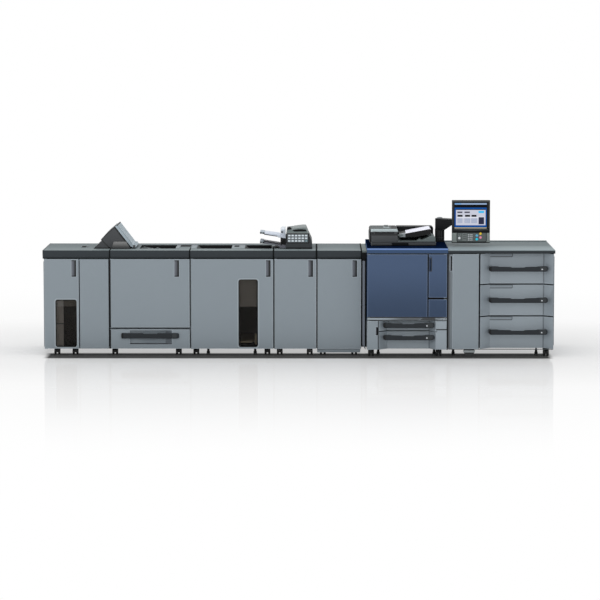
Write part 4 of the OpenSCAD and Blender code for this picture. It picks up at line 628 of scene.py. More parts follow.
print("finishes on", len(nodes), "nodes")

# a folded rim round each flat door, painted lighter as a highlight along its edges
finisherFront, engineFront = -366, -486
for node in [name for name in nodes if name.endswith("_door")] + ["binder_drawer"]:
    x0, x1, y0, y1, z0, z1 = edges(node)
    blue = node in ("engine_main_door", "toner_door", "waste_toner_door")
    made(node + "Rim", blueEdgeLook if blue else edgeLook, "deep_blue" if blue else "panel_grey",
         rim(x0 + 0.2, x1 - 0.2, z0 + 0.2, z1 - 0.2, 3, 4.5, y0 - 0.7, y0 + 0.4), on=node)

# finger pockets: a slanted lining in each door's recess, with painted light on its left and painted shade on
# its right, and on the grey doors painted shade at its top and foot and a lip painted lighter as a highlight
high = (747, 907, finisherFront, 21.5)
pockets = {
    "windowDoor": ("binder_window_door", -2139, -2092, *high),
    "binderDoor": ("binder_main_door", -1168.8, -1121.8, *high),
    "stackerDoor": ("stacker_door", -306, -259, *high),
    "folderDoor": ("folder_door", 93.2, 140.2, *high),
    "relayDoor": ("relay_door", 508.4, 555.4, *high),
    "tonerDoor": ("toner_door", 1228, 1251.5, 814.4, 936, engineFront, 21.5),
    "sideDoor": ("engine_side_door", 727.5, 751, 207, 287, engineFront, 21.5),
    "feederStrip": ("feeder_cabinet", 1424.5, 1445, 814.2, 958.2, -480, 15.5),
}
for name, (node, x0, x1, z0, z1, y, deep) in pockets.items():
    blue = node == "toner_door"
    lit, dim = (finish["blueHead"], finish["blueFoot"]) if blue else ((0.44, 0.46, 0.50), (0.12, 0.13, 0.14))
    ends = [] if blue else [(outside("z", z0 + 11, z1 - 11), (0.15, 0.16, 0.17))]
    look = sprayed(name + "Pocket", fade("x", x0, x1 - 8, lit, dim), ends)
    slot = "deep_blue" if blue else "panel_grey"
    slant = [(x0 + 1, y + deep * 0.45), (x1 - 1, y + deep - 1.5), (x1 - 1, y + deep), (x0 + 1, y + deep)]
    outer = roundRect(x0 + 0.2, x1 - 0.2, z0 + 0.2, z1 - 0.2, 3)
    inner = roundRect(x0 + 1.4, x1 - 1.4, z0 + 1.4, z1 - 1.4, 2.5)
    made(name + "Pocket", look, slot, prism(slant, "z", z0 + 1, z1 - 1, 0.4),
         ring(outer, inner, "y", y + 0.3, y + deep), on=node)
    made(name + "PocketLip", bandLook if blue else edgeLook, slot,
         ring(roundRect(x0 - 3, x1 + 3, z0 - 3, z1 + 3, 5), inner, "y", y - 0.6, y + 0.3), on=node)
# a dark blue edge: painted shade round the toner pocket and along the feet of the blue doors
pullLook = sprayed("pullEdge", (0.11, 0.14, 0.20))
made("tonerPullEdge", pullLook, "deep_blue", rim(1226.2, 1252, 810, 950, 7, 4, -487, -485.8), on="toner_door")
print("door rims and finger pockets made")

# windows: a gasket in a light rim, and what shows behind the smoked panes
windows = {"binderWindow": ("binder_window_door", -2287.64, -2091.64, 86, 532, 0.2),
           "stackerWindow": ("stacker_door", -560, -378, 86, 724, -3)}
windowRimLook = sprayed("windowRim", (0.60, 0.64, 0.665))
for name, (node, x0, x1, z0, z1, grown) in windows.items():
    right = x1 + grown
    made(name + "Gasket", inkLook, "cover_dark",
         rim(x0 + 0.2, x1 - 0.2, z0 + 0.2, z1 - 0.2, 17.6, 3, -365.4, -362.9, 0.5), on=node)
    made(name + "Edge", inkLook, "cover_dark",
         ring(roundRect(x0 - 5, right + 1, z0 - 6, z1 + 0.5, 23),
              roundRect(x0 + 1, right - 1, z0 + 1, z1 - 1, 17), "y", -366.6, -365.6), on=node)
    made(name + "Rim", windowRimLook, "panel_grey",
         ring(roundRect(x0 - 14, x1 + 9, z0 - 15, z1 + 9, 30),
              roundRect(x0 - 4.6, right + 0.6, z0 - 5.6, z1 + 0.2, 22.6), "y", -367.0, -365.6, 0.4), on=node)
# inside the windows: painted light brightening the guides above z 462, and painted shade turning the inner
# plates black below it
guideLook = sprayed("guidePlate", (0.88, 0.85, 0.81), [(over("z", 462), (1.0, 0.98, 0.95))])
shadowLook = sprayed("innerPlate", (0.60, 0.57, 0.53), [(under("z", 462), (0.10, 0.10, 0.10))])
made("binderGuides", guideLook, "steel",
     *[box(-2310, -2219, -328, -324, z0, z1, 1.5) for z0, z1 in ((84, 295), (303, 455), (466, 560))],
     prism([(-2310, -326), (-2223, -326), (-2219, -318), (-2310, -318)], "z", 455, 466, 1))
made("binderPartition", shadowLook, "steel", box(-2216, -2074, -322, -318, 84, 560, 1.5),
     box(-2217, -2213, -326, -309, 84, 560, 1))
made("stackerBaffle", sprayed("baffle", (0.74, 0.71, 0.67)), "steel",
     box(-590, -396, -328, -324, 464, 740, 1.5), box(-590, -396, -322, -318, 460, 466, 1),
     prism(arcLine(-470, 690, 62, 70, 5, 8) + arcLine(-470, 690, 56, 5, 70, 8), "y", -331, -328))
made("stackerPost", shadowLook, "steel", box(-394, -372, -326, -322, 84, 740, 1.5))
ledge = [(-560, -318), (-436, -318), (-430, -300), (-430, -290), (-566, -290), (-566, -300)]
post = [(-412, 100), (-394, 100), (-394, 196), (-400, 202), (-412, 202)]
made("platformStop", beigeLook, "platform", prism(ledge, "z", 118, 133, 1.5),
     prism(post, "y", -318, -296, 1.5))
print("windows and what they show")

# dark strips in the gaps between doors: painted shade standing in for the shadow inside the gaps
gapShades = {"binderGap": (-1796, -1774, 86, 914, -329), "tonerGap": (1206, 1230, 380, 968, -449),
         "tonerFoot": (1216, 1398, 540, 572, -449), "engineGap": (1396, 1406, 70, 968, -484)}
for name, (x0, x1, z0, z1, y) in gapShades.items():
    line = [(x0, y + 6), (x0, y + 1), ((x0 + x1) / 2, y), (x1, y + 1), (x1, y + 6)]
    made(name + "ShadeStrip", inkLook, "soft_black", prism(line, "z", z0, z1, 0.4))

# dark edge strips where two fronts meet, painted shade of the gap between them, each on the front it belongs
# to
stripLook = painted("gapEdgeShade", (0.27, 0.285, 0.28), (), 700, 0.08, 0.7, shine=0.1)
tall = (67, 913.5, finisherFront, stripLook)
strips = {
    "mainDoorStrip": ("binder_main_door", -1779.8, -1769, 266, 913.5, finisherFront, inkLook),
    "drawerStrip": ("binder_drawer", -1779.8, -1769, 67, 248, finisherFront, inkLook),
    "stackerDoorStrip": ("stacker_door", -1015.9, -1011.5, *tall),
    "folderDoorStrip": ("folder_door", -227.9, -223.5, *tall),
    "relayDoorStrip": ("relay_door", 178.1, 182.5, *tall),
    "mainDoorFoot": ("binder_main_door", -1768, -1027, 265.2, 268.4, finisherFront, stripLook),
    "sideDoorStrip": ("engine_side_door", 748.8, 753.8, 74, 342, engineFront, inkLook),
    "feederDoorStrip": ("feeder_door", 1694, 1697.8, 81, 973, engineFront, inkLook),
    "engineDoorFoot": ("engine_main_door", 651, 1211, 379.2, 383, engineFront, pullLook),
    "wasteDoorFoot": ("waste_toner_door", 1226, 1394, 379.2, 383, engineFront, pullLook),
}
for name, (node, left, right, z0, z1, y, look) in strips.items():
    line = [(left, y - 1.3), (right, y - 0.9), (right, y + 0.2), (left, y + 0.2)]
    made(name, look, "soft_black", prism(line, "z", z0, z1), on=node)

# grip bars: rounded ends, a waist along the top and legs back to the drawer front
drawers = [("feeder", "top"), ("feeder", "middle"), ("feeder", "bottom"), ("engine", "upper"),
           ("engine", "lower")]
waist = [(0.83, 0), (0.80, 4), (0.62, 6), (0.59, 12), (0.39, 12), (0.36, 6), (0.17, 4), (0.14, 0)]
tabLook = painted("gripTab", (0.20, 0.215, 0.225), (), 1200, 0.05, 0.4, 0.2)
lampLook = gloss("gripLamp", (0.80, 0.82, 0.84), 0.25)
for unit, level in drawers:
    name, node = unit + level.title(), f"{unit}_{level}_grip"
    x0, x1, y0, y1, z0, z1 = edges(node)
    left, right, foot, head = x0 + 22, x1 - 22, z0 + 22, z1 - 22
    line = arcLine(left, foot, 22, 180, 270) + arcLine(right, foot, 22, 270, 360)
    line += arcLine(right, head, 22, 0, 90) + [(x0 + (x1 - x0) * share, z1 - drop) for share, drop in waist]
    line += arcLine(left, head, 22, 90, 180)
    legs = [box(x, x + 22, y0 + 12, y1 - 0.2, z0 + 6, z1 - 6, 2) for x in (x0 + 3, x1 - 25)]
    made(name + "Bar", gripLook, "grip_dark", prism(line, "y", y0 + 1.7, y0 + 13.8, 2.6, 3), *legs, on=node,
         replaced=(node,))
    cap = arcLine(left, foot, 20.5, 180, 270) + [(left, z0 + 1.5), (left, z1 - 1.5)]
    cap += arcLine(left, head, 20.5, 90, 180)
    made(name + "BarCap", inkLook, "grip_dark", prism(cap, "y", y0 + 0.9, y0 + 3, 0.4), on=node)
    tab = roundRect(x1 - 76, x1 - 14, z0 + 5, z1 - 5, 14)
    made(name + "BarTab", tabLook, "grip_dark", prism(tab, "y", y0 + 0.8, y0 + 3, 0.5), on=node)
    lampAt = (x1 - (70 if unit == "engine" else 56), y0 + 0.7, foot)
    made(name + "BarLamp", lampLook, "light_grey",
         lathe([(1, -0.4), (4, -0.6), (6.4, 0), (7, 1), (7, 2.4)], lampAt, "y", 24), on=node)

# drawer fronts: slim lips that follow the hollow, painted lighter as a highlight, and a label tab on each
# feeder drawer
# each hollow's left slant, its right slant and the flat beside it
hollows = {"feeder": (97, 86, 0), "engine": (84, 54, 104)}
seamLook = sprayed("seamShade", (0.20, 0.22, 0.235))
foldLook = sprayed("foldShade", (0.42, 0.45, 0.475))


def frontStrip(front, z0, z1, proud=0.7):
    return prism([(x, y - proud) for x, y in front] + [(x, y + 0.3) for x, y in reversed(front)], "z", z0, z1)


for unit, level in drawers:
    node = f"{unit}_{level}_drawer"
    left, right, flat = hollows[unit]
    x0, x1, y0, y1, z0, z1 = edges(node)
    back, corner = y0 + 80, x1 - flat - right
    front = [(x0, y0), (x0 + left, back), (corner, back)]
    if node != "engine_upper_drawer":
        front += [(x1 - flat, y0), (x1, y0)] if flat else [(x1, y0)]
    lips = [frontStrip(front, z1 - 4.5, z1 - 0.2)] + ([] if flat else [frontStrip(front, z0 + 0.2, z0 + 4.5)])
    made(node + "Lip", edgeLook, "panel_grey", *lips, on=node)
    line = [(corner - 8, back - 0.8), (corner, back - 0.8), (corner + 3, back - 3.6), (corner + 3, back),
            (corner - 8, back + 0.3)]
    made(node + "Fold", foldLook, "panel_grey", prism(line, "z", z0 + 5, z1 - 5), on=node)
    if node == "engine_upper_drawer":
        made("drawerSeamShade", seamLook, "soft_black", frontStrip(front, z0 + 0.2, z0 + 5, 0.9),
             box(x1 - 99, x1 - 0.5, y0 - 0.9, y0 + 0.3, z0 + 18.2, z0 + 25), on=node)
    if not flat:
        outer, inner = ([(a, z1 - head), (a, z1 - low), (a + slant, z1 - foot), (b - slant, z1 - foot),
                         (b, z1 - low), (b, z1 - head)] for a, b, head, low, slant, foot in
                        ((1790, 2017, 1, 26, 8, 34), (1796, 2011, 5, 23.5, 4, 28)))
        made(node + "LabelTab", seamLook, "panel_grey", ring(outer, inner, "y", back - 1.6, back + 0.2),
             on=node)
        made(node + "Label", sprayed(node + "Paper", (0.50, 0.54, 0.57)), "light_grey",
             prism(inner, "y", back - 0.6, back + 0.2), on=node)
print("grip bars and drawer fronts made")

# binder drawer: a lined scoop behind its bar, with painted shade deepening towards its right and at its foot,
# and a rim painted lighter as a highlight
x0, x1, z0, z1 = -1591.5, -1191.9, 105.3, 242.6
node = "binder_drawer"
scoopLook = sprayed("scoopCoat", fade("x", x0, x0 + 190, finish["panel"], (0.44, 0.48, 0.51)),
                    [(over("x", x1 - 62), (0.33, 0.36, 0.39)), (under("z", z0 + 12), (0.27, 0.29, 0.31))])
side = [(x1 - 62, -341.6), (x1 - 0.5, -365), (x1 - 0.5, -340.2), (x1 - 62, -340.2)]
made("binderScoop", scoopLook, "panel_grey", box(x0 + 0.5, x1 - 62, -341.6, -340.2, z0 + 0.5, z1 - 0.5),
     prism(side, "z", z0 + 0.5, z1 - 0.5),
     prism([(-364.5, z0 + 0.5), (-341, z0 + 9), (-340.2, z0 + 0.5)], "x", x0 + 0.5, x1 - 1), on=node)
made("binderScoopRim", edgeLook, "panel_grey", rim(x0 - 2, x1 + 2, z0 - 2, z1 + 2, 4, 3.5, -366.6, -365.6),
     on=node)
x0, x1, y0, y1, z0, z1 = edges("binder_drawer_grip")
left, right, foot, head, span = x0 + 8, x1 - 14, z0 + 8, z1 - 8, x1 - x0
line = arcLine(left, foot, 8, 180, 270, 3) + arcLine(right, z0 + 14, 14, 270, 360, 4)
line += arcLine(right, z1 - 14, 14, 0, 90, 4)
line += [(x0 + span * share, z1 - drop) for share, drop in ((0.64, 0), (0.61, 7), (0.40, 7), (0.37, 0))]
line += arcLine(left, head, 8, 90, 180, 3)
made("binderBar", gripLook, "grip_dark", prism(line, "y", y0, y1 - 0.1, 2.6, 3), on=node,
     replaced=("binder_drawer_grip",))
cap = arcLine(left, foot, 7, 180, 270, 3) + [(x0 + 20, z0 + 1), (x0 + 20, z1 - 1)]
cap += arcLine(left, head, 7, 90, 180, 3)
made("binderBarCap", inkLook, "grip_dark", prism(cap, "y", y0 - 0.8, y0 + 1, 0.4), on=node)
made("binderBarTab", tabLook, "grip_dark",
     prism(roundRect(x1 - 64, x1 - 22, z0 + 6, z1 - 6, 10), "y", y0 - 0.9, y0 + 1, 0.5), on=node)

# engine front: the rail between the blue doors and the drawers
railLook = sprayed("engineRailCoat", fade("x", 800, 1000, (0.58, 0.62, 0.65), (0.34, 0.36, 0.375)),
                   [(outside("z", 356, 371), (0.21, 0.225, 0.235))])
made("engineRail", railLook, "panel_grey",
     prism([(652, 350), (1128, 350), (1168, 376), (652, 376)], "y", -487, -480, 0.6))
railEndLook = sprayed("railEnd", (0.27, 0.28, 0.29),
                      [(over("x", 1288), (0.60, 0.635, 0.66)), (over("z", 372), (0.13, 0.14, 0.15))])
made("engineRailEnd", railEndLook, "panel_grey",
     prism([(1172, 376.4), (1134, 349.6), (1396, 349.6), (1396, 376.4)], "y", -486, -478, 0.6))
print("binder drawer and engine front made")

# top covers: dark strips of painted shade in the seams between the units, lined exit troughs and what lies in
# them
topZ = 998
seams = [(-1783, -1771, -190), (-1029, -1017, 20), (-241, -227, 60), (164, 180, 360), (588, 601, 409)]
parts = []
for x0, x1, back in seams:
    line = [(-358, 916.5), (-374, 942), (-374.6, 974), (-374.6, 998.7), (back, 998.7), (back, 997.6),
            (-373, 997.6), (-373, 974), (-372.4, 942), (-357, 918)]
    parts.append(prism(line, "x", x0, x1))
made("coverSeams", painted("coverSeamShade", (0.08, 0.09, 0.09), (), 700, 0.1, 0.8, 0.03), "soft_black", *parts)
made("coverEnd", bandLook, "cover_dark",
     prism([(-374, 990), (-374, 999), (409, 999), (409, 990)], "x", -2408.8, -2401, 1.2))

troughs = {"binder": (-1508.1, -1164.5, 0), "stackerLeft": (-965.8, -634.9, 45),
           "stackerRight": (-508.9, -256.6, 45)}
# trough linings and ribs: painted lighter where they face up, as painted light
wellLook = painted("troughLining", (0.12, 0.125, 0.13), [(facingUp, (0.17, 0.175, 0.18))], 900, 0.08, 0.6,
                   0.1)
ribLook = painted("troughRib", (0.36, 0.385, 0.39), [(facingUp, (0.44, 0.47, 0.475))], 900, 0.05, 0.55, 0.1)
y0, y1, foot, head = -165.5, 223.5, 953.3, topZ - 0.5
for name, (x0, x1, ramp) in troughs.items():
    low = x0 + ramp + 1
    wall = [(x0 + 1, head), (low, foot + 1), (x1 - 0.5, foot + 1), (x1 - 0.5, head)]
    slope = [(x0 + 1.5, head), (low + 0.5, foot + 1), (low + 3, foot + 1), (x0 + 4, head)]
    made(name + "TroughLining", wellLook, "soft_black", box(low, x1 - 0.5, y0, y1, foot, foot + 1.5),
         prism(wall, "y", y1 - 1.5, y1), prism(wall, "y", y0, y0 + 1.5),
         box(x1 - 2, x1 - 0.5, y0, y1, foot, head),
         prism(slope, "y", y0, y1) if ramp else box(x0 + 0.5, x0 + 2, y0, y1, foot, head),
         *[box(low + 29, x1 - 24, 43 * i - 143.5, 43 * i - 139.5, foot + 1, foot + 6, 0.8) for i in range(9)])
# rollers and guides at the left end of each trough
guides = [([(-1506, 955), (-1506, 981), (-1480, 989), (-1420, 976), (-1340, 957), (-1340, 955)],
           120, 150, 1.5),
          ([(-1506, 955), (-1506, 975), (-1460, 984), (-1400, 964), (-1380, 955)], -20, 8, 1.5),
          ([(-1395, 955), (-1362, 979), (-1352, 979), (-1300, 955)], 150, 176, 1.5)]
for i in range(4):
    x, y, z = 19 * i - 958, 62 * i - 40, 996 - 16 * i
    guides.append(([(x, z), (x + 7, z), (x + 60, 955), (x + 50, 955)], y, y + 12, 1.2))
made("troughGuides", ribLook, "top_grey", *[prism(line, "y", *reach) for line, *reach in guides])
wheel = [(10, -58), (10.5, -54), (10.5, -24), (10, -20)]
roller = [(5, -120), (5, -60), *wheel, (5, -18), (5, 60), *((r, y + 120) for r, y in wheel)]
roller += [(5, 102), (5, 118)]
made("troughRollers", gloss("rollerRubber", (0.40, 0.41, 0.42), 0.5), "light_grey",
     *[lathe(roller, (x, 20, 968), "y", 20) for x in (-1438, -1402)])
# raised bridges beside the troughs, with a slot in the stacker's
bridgeLook = painted("bridgePlastic", (0.55, 0.585, 0.60), [(over("y", 120), (0.47, 0.49, 0.52))], 900, 0.03,
                     0.6, 0.1)
made("coverBridges", bridgeLook, "top_grey", *[box(x0, x1, -176, 232, topZ - 1, topZ + 3, 1.2)
                                               for x0, x1 in ((-1166, -1132), (-1020, -972), (-632, -511))])
slotLook = painted("slotShade", (0.10, 0.105, 0.11), (), 900, 0.1, 0.7, 0.05)
openings = [(-2071, -2026, -66, 110, 998.2), (-612, -566, -26, 129, 1001.1), (-1129, -1027, 20, 224, 998.2),
            (-227, -196, -155, 175, 998.2)]
made("coverSlots", slotLook, "soft_black",
     *[box(x0, x1, y0, y1, z - 0.4, z + 0.8, 0.3) for x0, x1, y0, y1, z in openings])
made("coverSlotRims", bridgeLook, "top_grey",
     *[ring(roundRect(x0 - 5, x1 + 5, y0 - 6, y1 + 6, 6), roundRect(x0, x1, y0, y1, 3), "z", z - 0.4,
            z + 1.6, 0.5) for x0, x1, y0, y1, z in openings])
made("coverLatch", bandLook, "cover_dark",
     prism([(-2018, -10), (-2006, -10), (-2002, 40), (-2008, 60), (-2018, 60)], "z", topZ, topZ + 2, 0.6))
print("top covers finished")

# book exit hood: dark lines of painted shade along its folds and its foot, and the lip of its lid
skinY = (-186.8, -185.7)
made("hoodShadeLines", painted("hoodShadeLine", (0.10, 0.108, 0.112), drift=0.1, rough=0.6), "cover_dark",
     band((-1862, 1078), (-1788, 1003), 10, *skinY), band((-1742, 1200), (-1612, 1028), 9, *skinY),
     band((-1866, 1088), (-1748, 1198), 7, *skinY),
     prism([(-1936, 998.6), (-1772, 998.6), (-1772, 1011), (-1925, 1011)], "y", *skinY))
made("hoodLidEdge", painted("lidEdge", (0.52, 0.57, 0.59), drift=0.03), "light_grey",
     band((-1709, 1212), (-1576, 1044), 5, -186.6, -185.6), on="book_exit_lid")
lidRib = [(-1702, 1207.4), (-1700, 1208.6), (-1584, 1057), (-1586, 1055.4)]
made("hoodLidRibs", silverLook, "light_grey",
     *[prism(lidRib, "y", y, y + 5, 0.3) for y in range(-150, 163, 78)], on="book_exit_lid")
print("hood made")

# sheet inserter: key field, slot and knob on its body, ends and fence on its trays
skinY = (-206.9, -206.1)
gaps = [(-97.6 + 32 * c, -74.4 + 32 * c) for c in range(6)]
rows = [(1066.65 + 25.6 * r, 1081.85 + 25.6 * r, gaps) for r in range(3)]
made("keyField", painted("keyFieldPlate", (0.37, 0.40, 0.415), drift=0.03), "top_grey",
     *sheet(-103, 91, 1059, 1138, *skinY, rows))
made("keyFieldFrame", inkLook, "cover_dark", rim(-114, 104, 1052, 1146, 8, 9, -207.3, -206.1, 0.4))
curve = [(-50 + 13 * i, 1176 + 10 * math.sin(math.radians(16 + 14 * i))) for i in range(10)]
made("inserterSlot", slotLook, "soft_black",
     prism([(-57, 1176), *curve, (77, 1173), (72, 1165), (-40, 1163)], "y", -206.6, -205.8))
made("inserterBand", painted("inserterBandPlastic", (0.45, 0.48, 0.48), drift=0.03), "top_grey",
     prism([(-112, 1153), (98, 1153), (104, 1140), (-112, 1140)], "y", -206.5, -205.8, 0.2))
made("inserterKnob", inkLook, "soft_black",
     prism([(-64, 1176), *arcLine(-86, 1183, 22, 0, 180, 8), (-108, 1176)], "y", -190, -120, 2.5))
made("inserterHood", casingLook, "top_grey",
     prism([(-60, 1182), (-40, 1189), (40, 1199), (66, 1199), (72, 1194), (-58, 1176)], "y", -180, 200, 2))
# tray ends: painted lighter where they face up, as painted light
trayEndLook = painted("trayEndPlastic", (0.50, 0.54, 0.56), [(facingUp, (0.66, 0.70, 0.74))], 900, 0.03, 0.5,
                      0.15)
trayEnds = ([(-364, 1141), (-364, 1155), (-352, 1158), (-320, 1152), (-320, 1137), (-340, 1138)],
            [(-364, 1051.5), (-364, 1071), (-356, 1074), (-328, 1069), (-328, 1052)])
made("trayEnds", trayEndLook, "light_grey", *[prism(line, "y", -168, 88, 2.5) for line in trayEnds])
made("trayTrim", inkLook, "soft_black",
     *[lathe([(1, -1.4), (6.5, -1.2), (7.5, 0), (7.5, 2)], (x, -168, z), "y", 18)
       for x, z in ((-357, 1147), (-330, 1145), (-357, 1056), (-330, 1057))],
     band((-324, 1134), (-200, 1115), 7, -168.5, -166), band((-326, 1070), (-168, 1040), 8, -168.5, -166))
fenceLook = painted("fencePlastic", (0.78, 0.81, 0.85), [(over("z", 1178), (0.92, 0.945, 0.97))], 600, 0.04,
                    0.3)
stop = [(-200, 1113), (-192, 1126), (-178, 1128), (-168, 1116), (-170, 1100), (-192, 1104)]
made("trayFence", fenceLook, "light_grey",
     prism([(-168, 1100), (-121, 1092), (-121, 1206), (-150, 1210), (-168, 1196)], "y", -150, -138, 2),
     *[box(x, x + 5, -153, -149, 1118, 1186, 1.2) for x in (-164, -153, -142, -131)],
     prism(stop, "y", -170, -160, 2.5))
arm = [(-166, 1078), (-150, 1086), (-140, 1080), (-152, 1066), (-156, 1030), (-166, 1026)]
made("trayBracket", inkLook, "soft_black", box(-163, -148, -156, -150, 1148, 1162, 1),
     prism(arm, "y", -170, -160, 2), box(-170, -121, -150, 60, 1008, 1096, 3))
print("sheet inserter made")

# scanner lid and the feeder of originals
# a pale nose along the front of the cover of originals: a painted highlight on its rounded edge, its top
# painted darker
nose = [(-263, 1169), (-263, 1181), *arcLine(-253, 1181, 10, 180, 90), (-249, 1191), (-249, 1166),
        (-260, 1166)]
noseLook = painted("noseHighlight", (0.73, 0.78, 0.79), [(facingUp, (0.58, 0.63, 0.64))], 900, 0.03, 0.4, 0.2)
made("originalCoverNose", noseLook, "top_grey", prism(nose, "x", 700, 934, 1), on="adf_cover")
made("originalCoverGrips", charcoalLook, "cover_dark",
     *[box(x0, x1, -257.6, -256, 1146, 1163, 1) for x0, x1 in ((712, 722), (905, 930))], on="adf_cover")
# lid front: painted shade in a dark band along its top, under the cover of originals
lidFrontLook = painted("lidFrontPlastic", (0.245, 0.26, 0.27), [(over("z", 1128), (0.13, 0.14, 0.145))])
line = [(-262.5, 1068), (-262.5, 1136), (-259.5, 1139), (-259.5, 1066)]
made("lidFront", lidFrontLook, "cover_dark", prism(line, "x", 690, 938, 0.8), on="scanner_lid")
# a dark piece on the lid's rounded left end: painted shade
made("lidSideShade", inkLook, "soft_black", box(674.5, 687, -263, -259.6, 1068, 1160, 1), on="scanner_lid")
made("scannerShadow", slotLook, "soft_black", box(692, 1299, -261.4, -259.8, 1034.5, 1042, 0.5),
     prism([(880, 1062), (888, 1038), (1036, 1038), (1040, 1062)], "y", -264.6, -259.8, 0.5))
print("scanner and feeder of originals made")

# post and arm of the operation panel
outer, inner = roundRect(1311.4, 1401, 195.3, 284.9, 6), roundRect(1314, 1398, 198, 282, 4)
made("postCollars", painted("postRib", (0.21, 0.225, 0.235), drift=0.08, rough=0.45), "soft_black",
     *[ring(outer, inner, "z", z, z + 4, 0.6) for z in (1070, 1142)],
     *[box(x, x + 6, 194.4, 196.6, 1046, 1136, 1) for x in (1336, 1352, 1368)])
made("swivelCap", painted("swivelCapPlastic", (0.42, 0.44, 0.45), (), 700, 0.05, 0.4), "light_grey",
     lathe([(30, 0), (30, 3), (26, 8), (16, 12), (2, 13)], (1356.2, 240.1, 1255.5), "z"), on="panel_arm")
made("armCover", bandLook, "soft_black",
     prism([(1330, 1168), (1396, 1168), (1436, 1204), (1330, 1204)], "y", 282, 285, 1), on="panel_arm")

# operation panel: bezel, lower lip and fascia on its housing, whose face lies at y -60
low, mid = (-61.2, -60.1), (-60.9, -60.1)
outer, inner = roundRect(1477.5, 1803.5, 1175.5, 1432.5, 5), roundRect(1484.5, 1796.5, 1182.5, 1425.5, 2)
made("screenBezel", inkLook, "cover_dark", ring(outer, inner, "y", -61.6, -60.1, 0.5), on="panel_housing")
made("panelEdges", painted("panelEdge", (0.10, 0.11, 0.115), [(over("z", 1435), (0.24, 0.26, 0.26))], 900,
                           0.05, 0.45), "cover_dark", box(1463, 1818, *low, 1436, 1446, 0.5),
     *[box(x, x + 9, *low, 1190, 1432, 0.5) for x in (1464, 1808)], on="panel_housing")
lip = [(1483.5 + 314 * i / 8, 1170 - 9 * math.sin(math.pi * i / 8)) for i in range(9)]
lip = [(1479.5, 1172), *lip, (1801.5, 1172), (1801.5, 1176), (1479.5, 1176)]
made("screenLip", bandLook, "cover_dark", prism(lip, "y", -63.5, -60.1, 1), on="panel_housing")
made("panelGrooves", slotLook, "soft_black", box(1461, 1820, *mid, 1141, 1158, 0.3),
     box(1461, 1820, *mid, 1044, 1050, 0.3), on="panel_housing")
fasciaEnds = ([(1461, 1051), (1519, 1051), (1508, 1062), (1505, 1140), (1461, 1140)],
              [(1778, 1051), (1820, 1051), (1820, 1140), (1792, 1140), (1789, 1062)])
made("fasciaEnds", painted("fasciaEnd", (0.50, 0.535, 0.525), drift=0.03), "top_grey",
     *[prism(line, "y", *mid, 0.3) for line in fasciaEnds], on="panel_housing")
plates = []
left, r = 1506, 8.6
for right in (1604, 1664, 1714, 1790):
    rows = sorted((z - r, z + r, [(x - r, x + r)]) for x, z, colour in buttons if left < x < right)
    if right == 1664:
        holes = [(1611.1 + 16.5 * c, 1623.1 + 16.5 * c) for c in range(3)]
        rows = [(1066.9 + 16.5 * n, 1076.7 + 16.5 * n, holes) for n in range(4)]
    plates += sheet(left, right, 1051, 1140, -61.1, -60.1, rows)
    left = right
made("fasciaPlate", painted("fasciaPlastic", (0.35, 0.38, 0.38), [(over("z", 1137), (0.25, 0.27, 0.27))],
                            drift=0.05), "cover_dark", *plates, on="panel_housing")
made("buttonRings", painted("buttonRing", (0.30, 0.31, 0.31), keyLayers, 900, 0.05, 0.4), "cover_dark",
     *[ring(arcLine(x, z, r + 3.4, 0, 345, 23), arcLine(x, z, r - 0.2, 0, 345, 23), "y", -62, -61)
       for x, z, colour in buttons], on="panel_housing")
made("fasciaEdge", inkLook, "cover_dark", rim(1505, 1791, 1052, 1150, 16, 6, -61.9, -61), on="panel_housing")
made("fasciaLines", painted("fasciaLine", (0.60, 0.63, 0.63), drift=0.03, rough=0.4), "top_grey",
     rim(1560, 1598, 1066, 1136, 5, 2.2, -61.9, -61), rim(1518, 1546, 1112, 1132, 8, 2, -61.9, -61),
     *[box(1566, 1592, -61.8, -61, z, z + 3, 0.3) for z in (1076, 1094, 1112)], on="panel_housing")
print("operation panel made")

# feeder worktop: a raised edge at the back and a low ridge along it
raised = [(470, 1010.5), (470, 1014), (476, 1021), (496, 1021), (502, 1014), (502, 1010.5)]
made("worktopEdge", painted("worktopEdgePlastic", finish["topBack"], (), 900, 0.03, 0.6, 0.1), "top_grey",
     prism(raised, "x", 1410, 2404, 1),
     prism([(60, 1010.6), (66, 1013), (84, 1013), (90, 1010.6)], "x", 1500, 2390, 0.6))

# casters: lathe-turned tyres with hub caps, and cheeks beside them
tyre = [(6, 0), (24, 0), (26, 1.5), (28, 1.5), (30.5, 3), (31, 5), (31, 15), (30.5, 17), (28, 18.5),
        (26, 18.5), (24, 20), (6, 20)]
cap = [(2, -1.2), (10, -1), (14, 0), (18, 0.2), (18, 1.4)]
finisher = [-2285.1, -2112.6, -1735.8, -1132.8, -966.6, -292.9, -176.2, 108.0, 232.1, 529.2]
printer = [686.8, 1325.2, 1609.2, 2337.3]
axles = {"finisher_front": (finisher, -276), "finisher_rear": (finisher, 319),
         "printer_front": (printer, -368), "printer_rear": (printer, 386)}
capLook = painted("wheelCap", (0.34, 0.345, 0.35), (), 700, 0.1, 0.45)
for name, (places, y) in axles.items():
    node = name + "_wheels"
    ends = [(side, (x + side * 7.5, y, 31)) for x in places for side in (-1, 1)]
    made(name + "Tyres", tyreLook, "wheel",
         *[lathe([(r, side * a) for r, a in tyre], at, "x", 28) for side, at in ends], on=node,
         replaced=(node,))
    made(name + "HubCaps", capLook, "wheel",
         *[lathe([(r, side * (19.6 - a)) for r, a in cap], at, "x", 20) for side, at in ends], on=node)
    plate = [(y - 27, 76), (y + 27, 76), (y + 22, 66), (y - 22, 66)]
    stem = [(y - 24, 68), (y + 24, 68), (y + 13, 44), (y - 13, 44)]
    cheeks = ((plate, 30, 1.2), (stem, 6.6, 0.8))
    made(name + "Forks", inkLook, "soft_black",
         *[prism(line, "x", x - half, x + half, soft) for x in places for line, half, soft in cheeks])

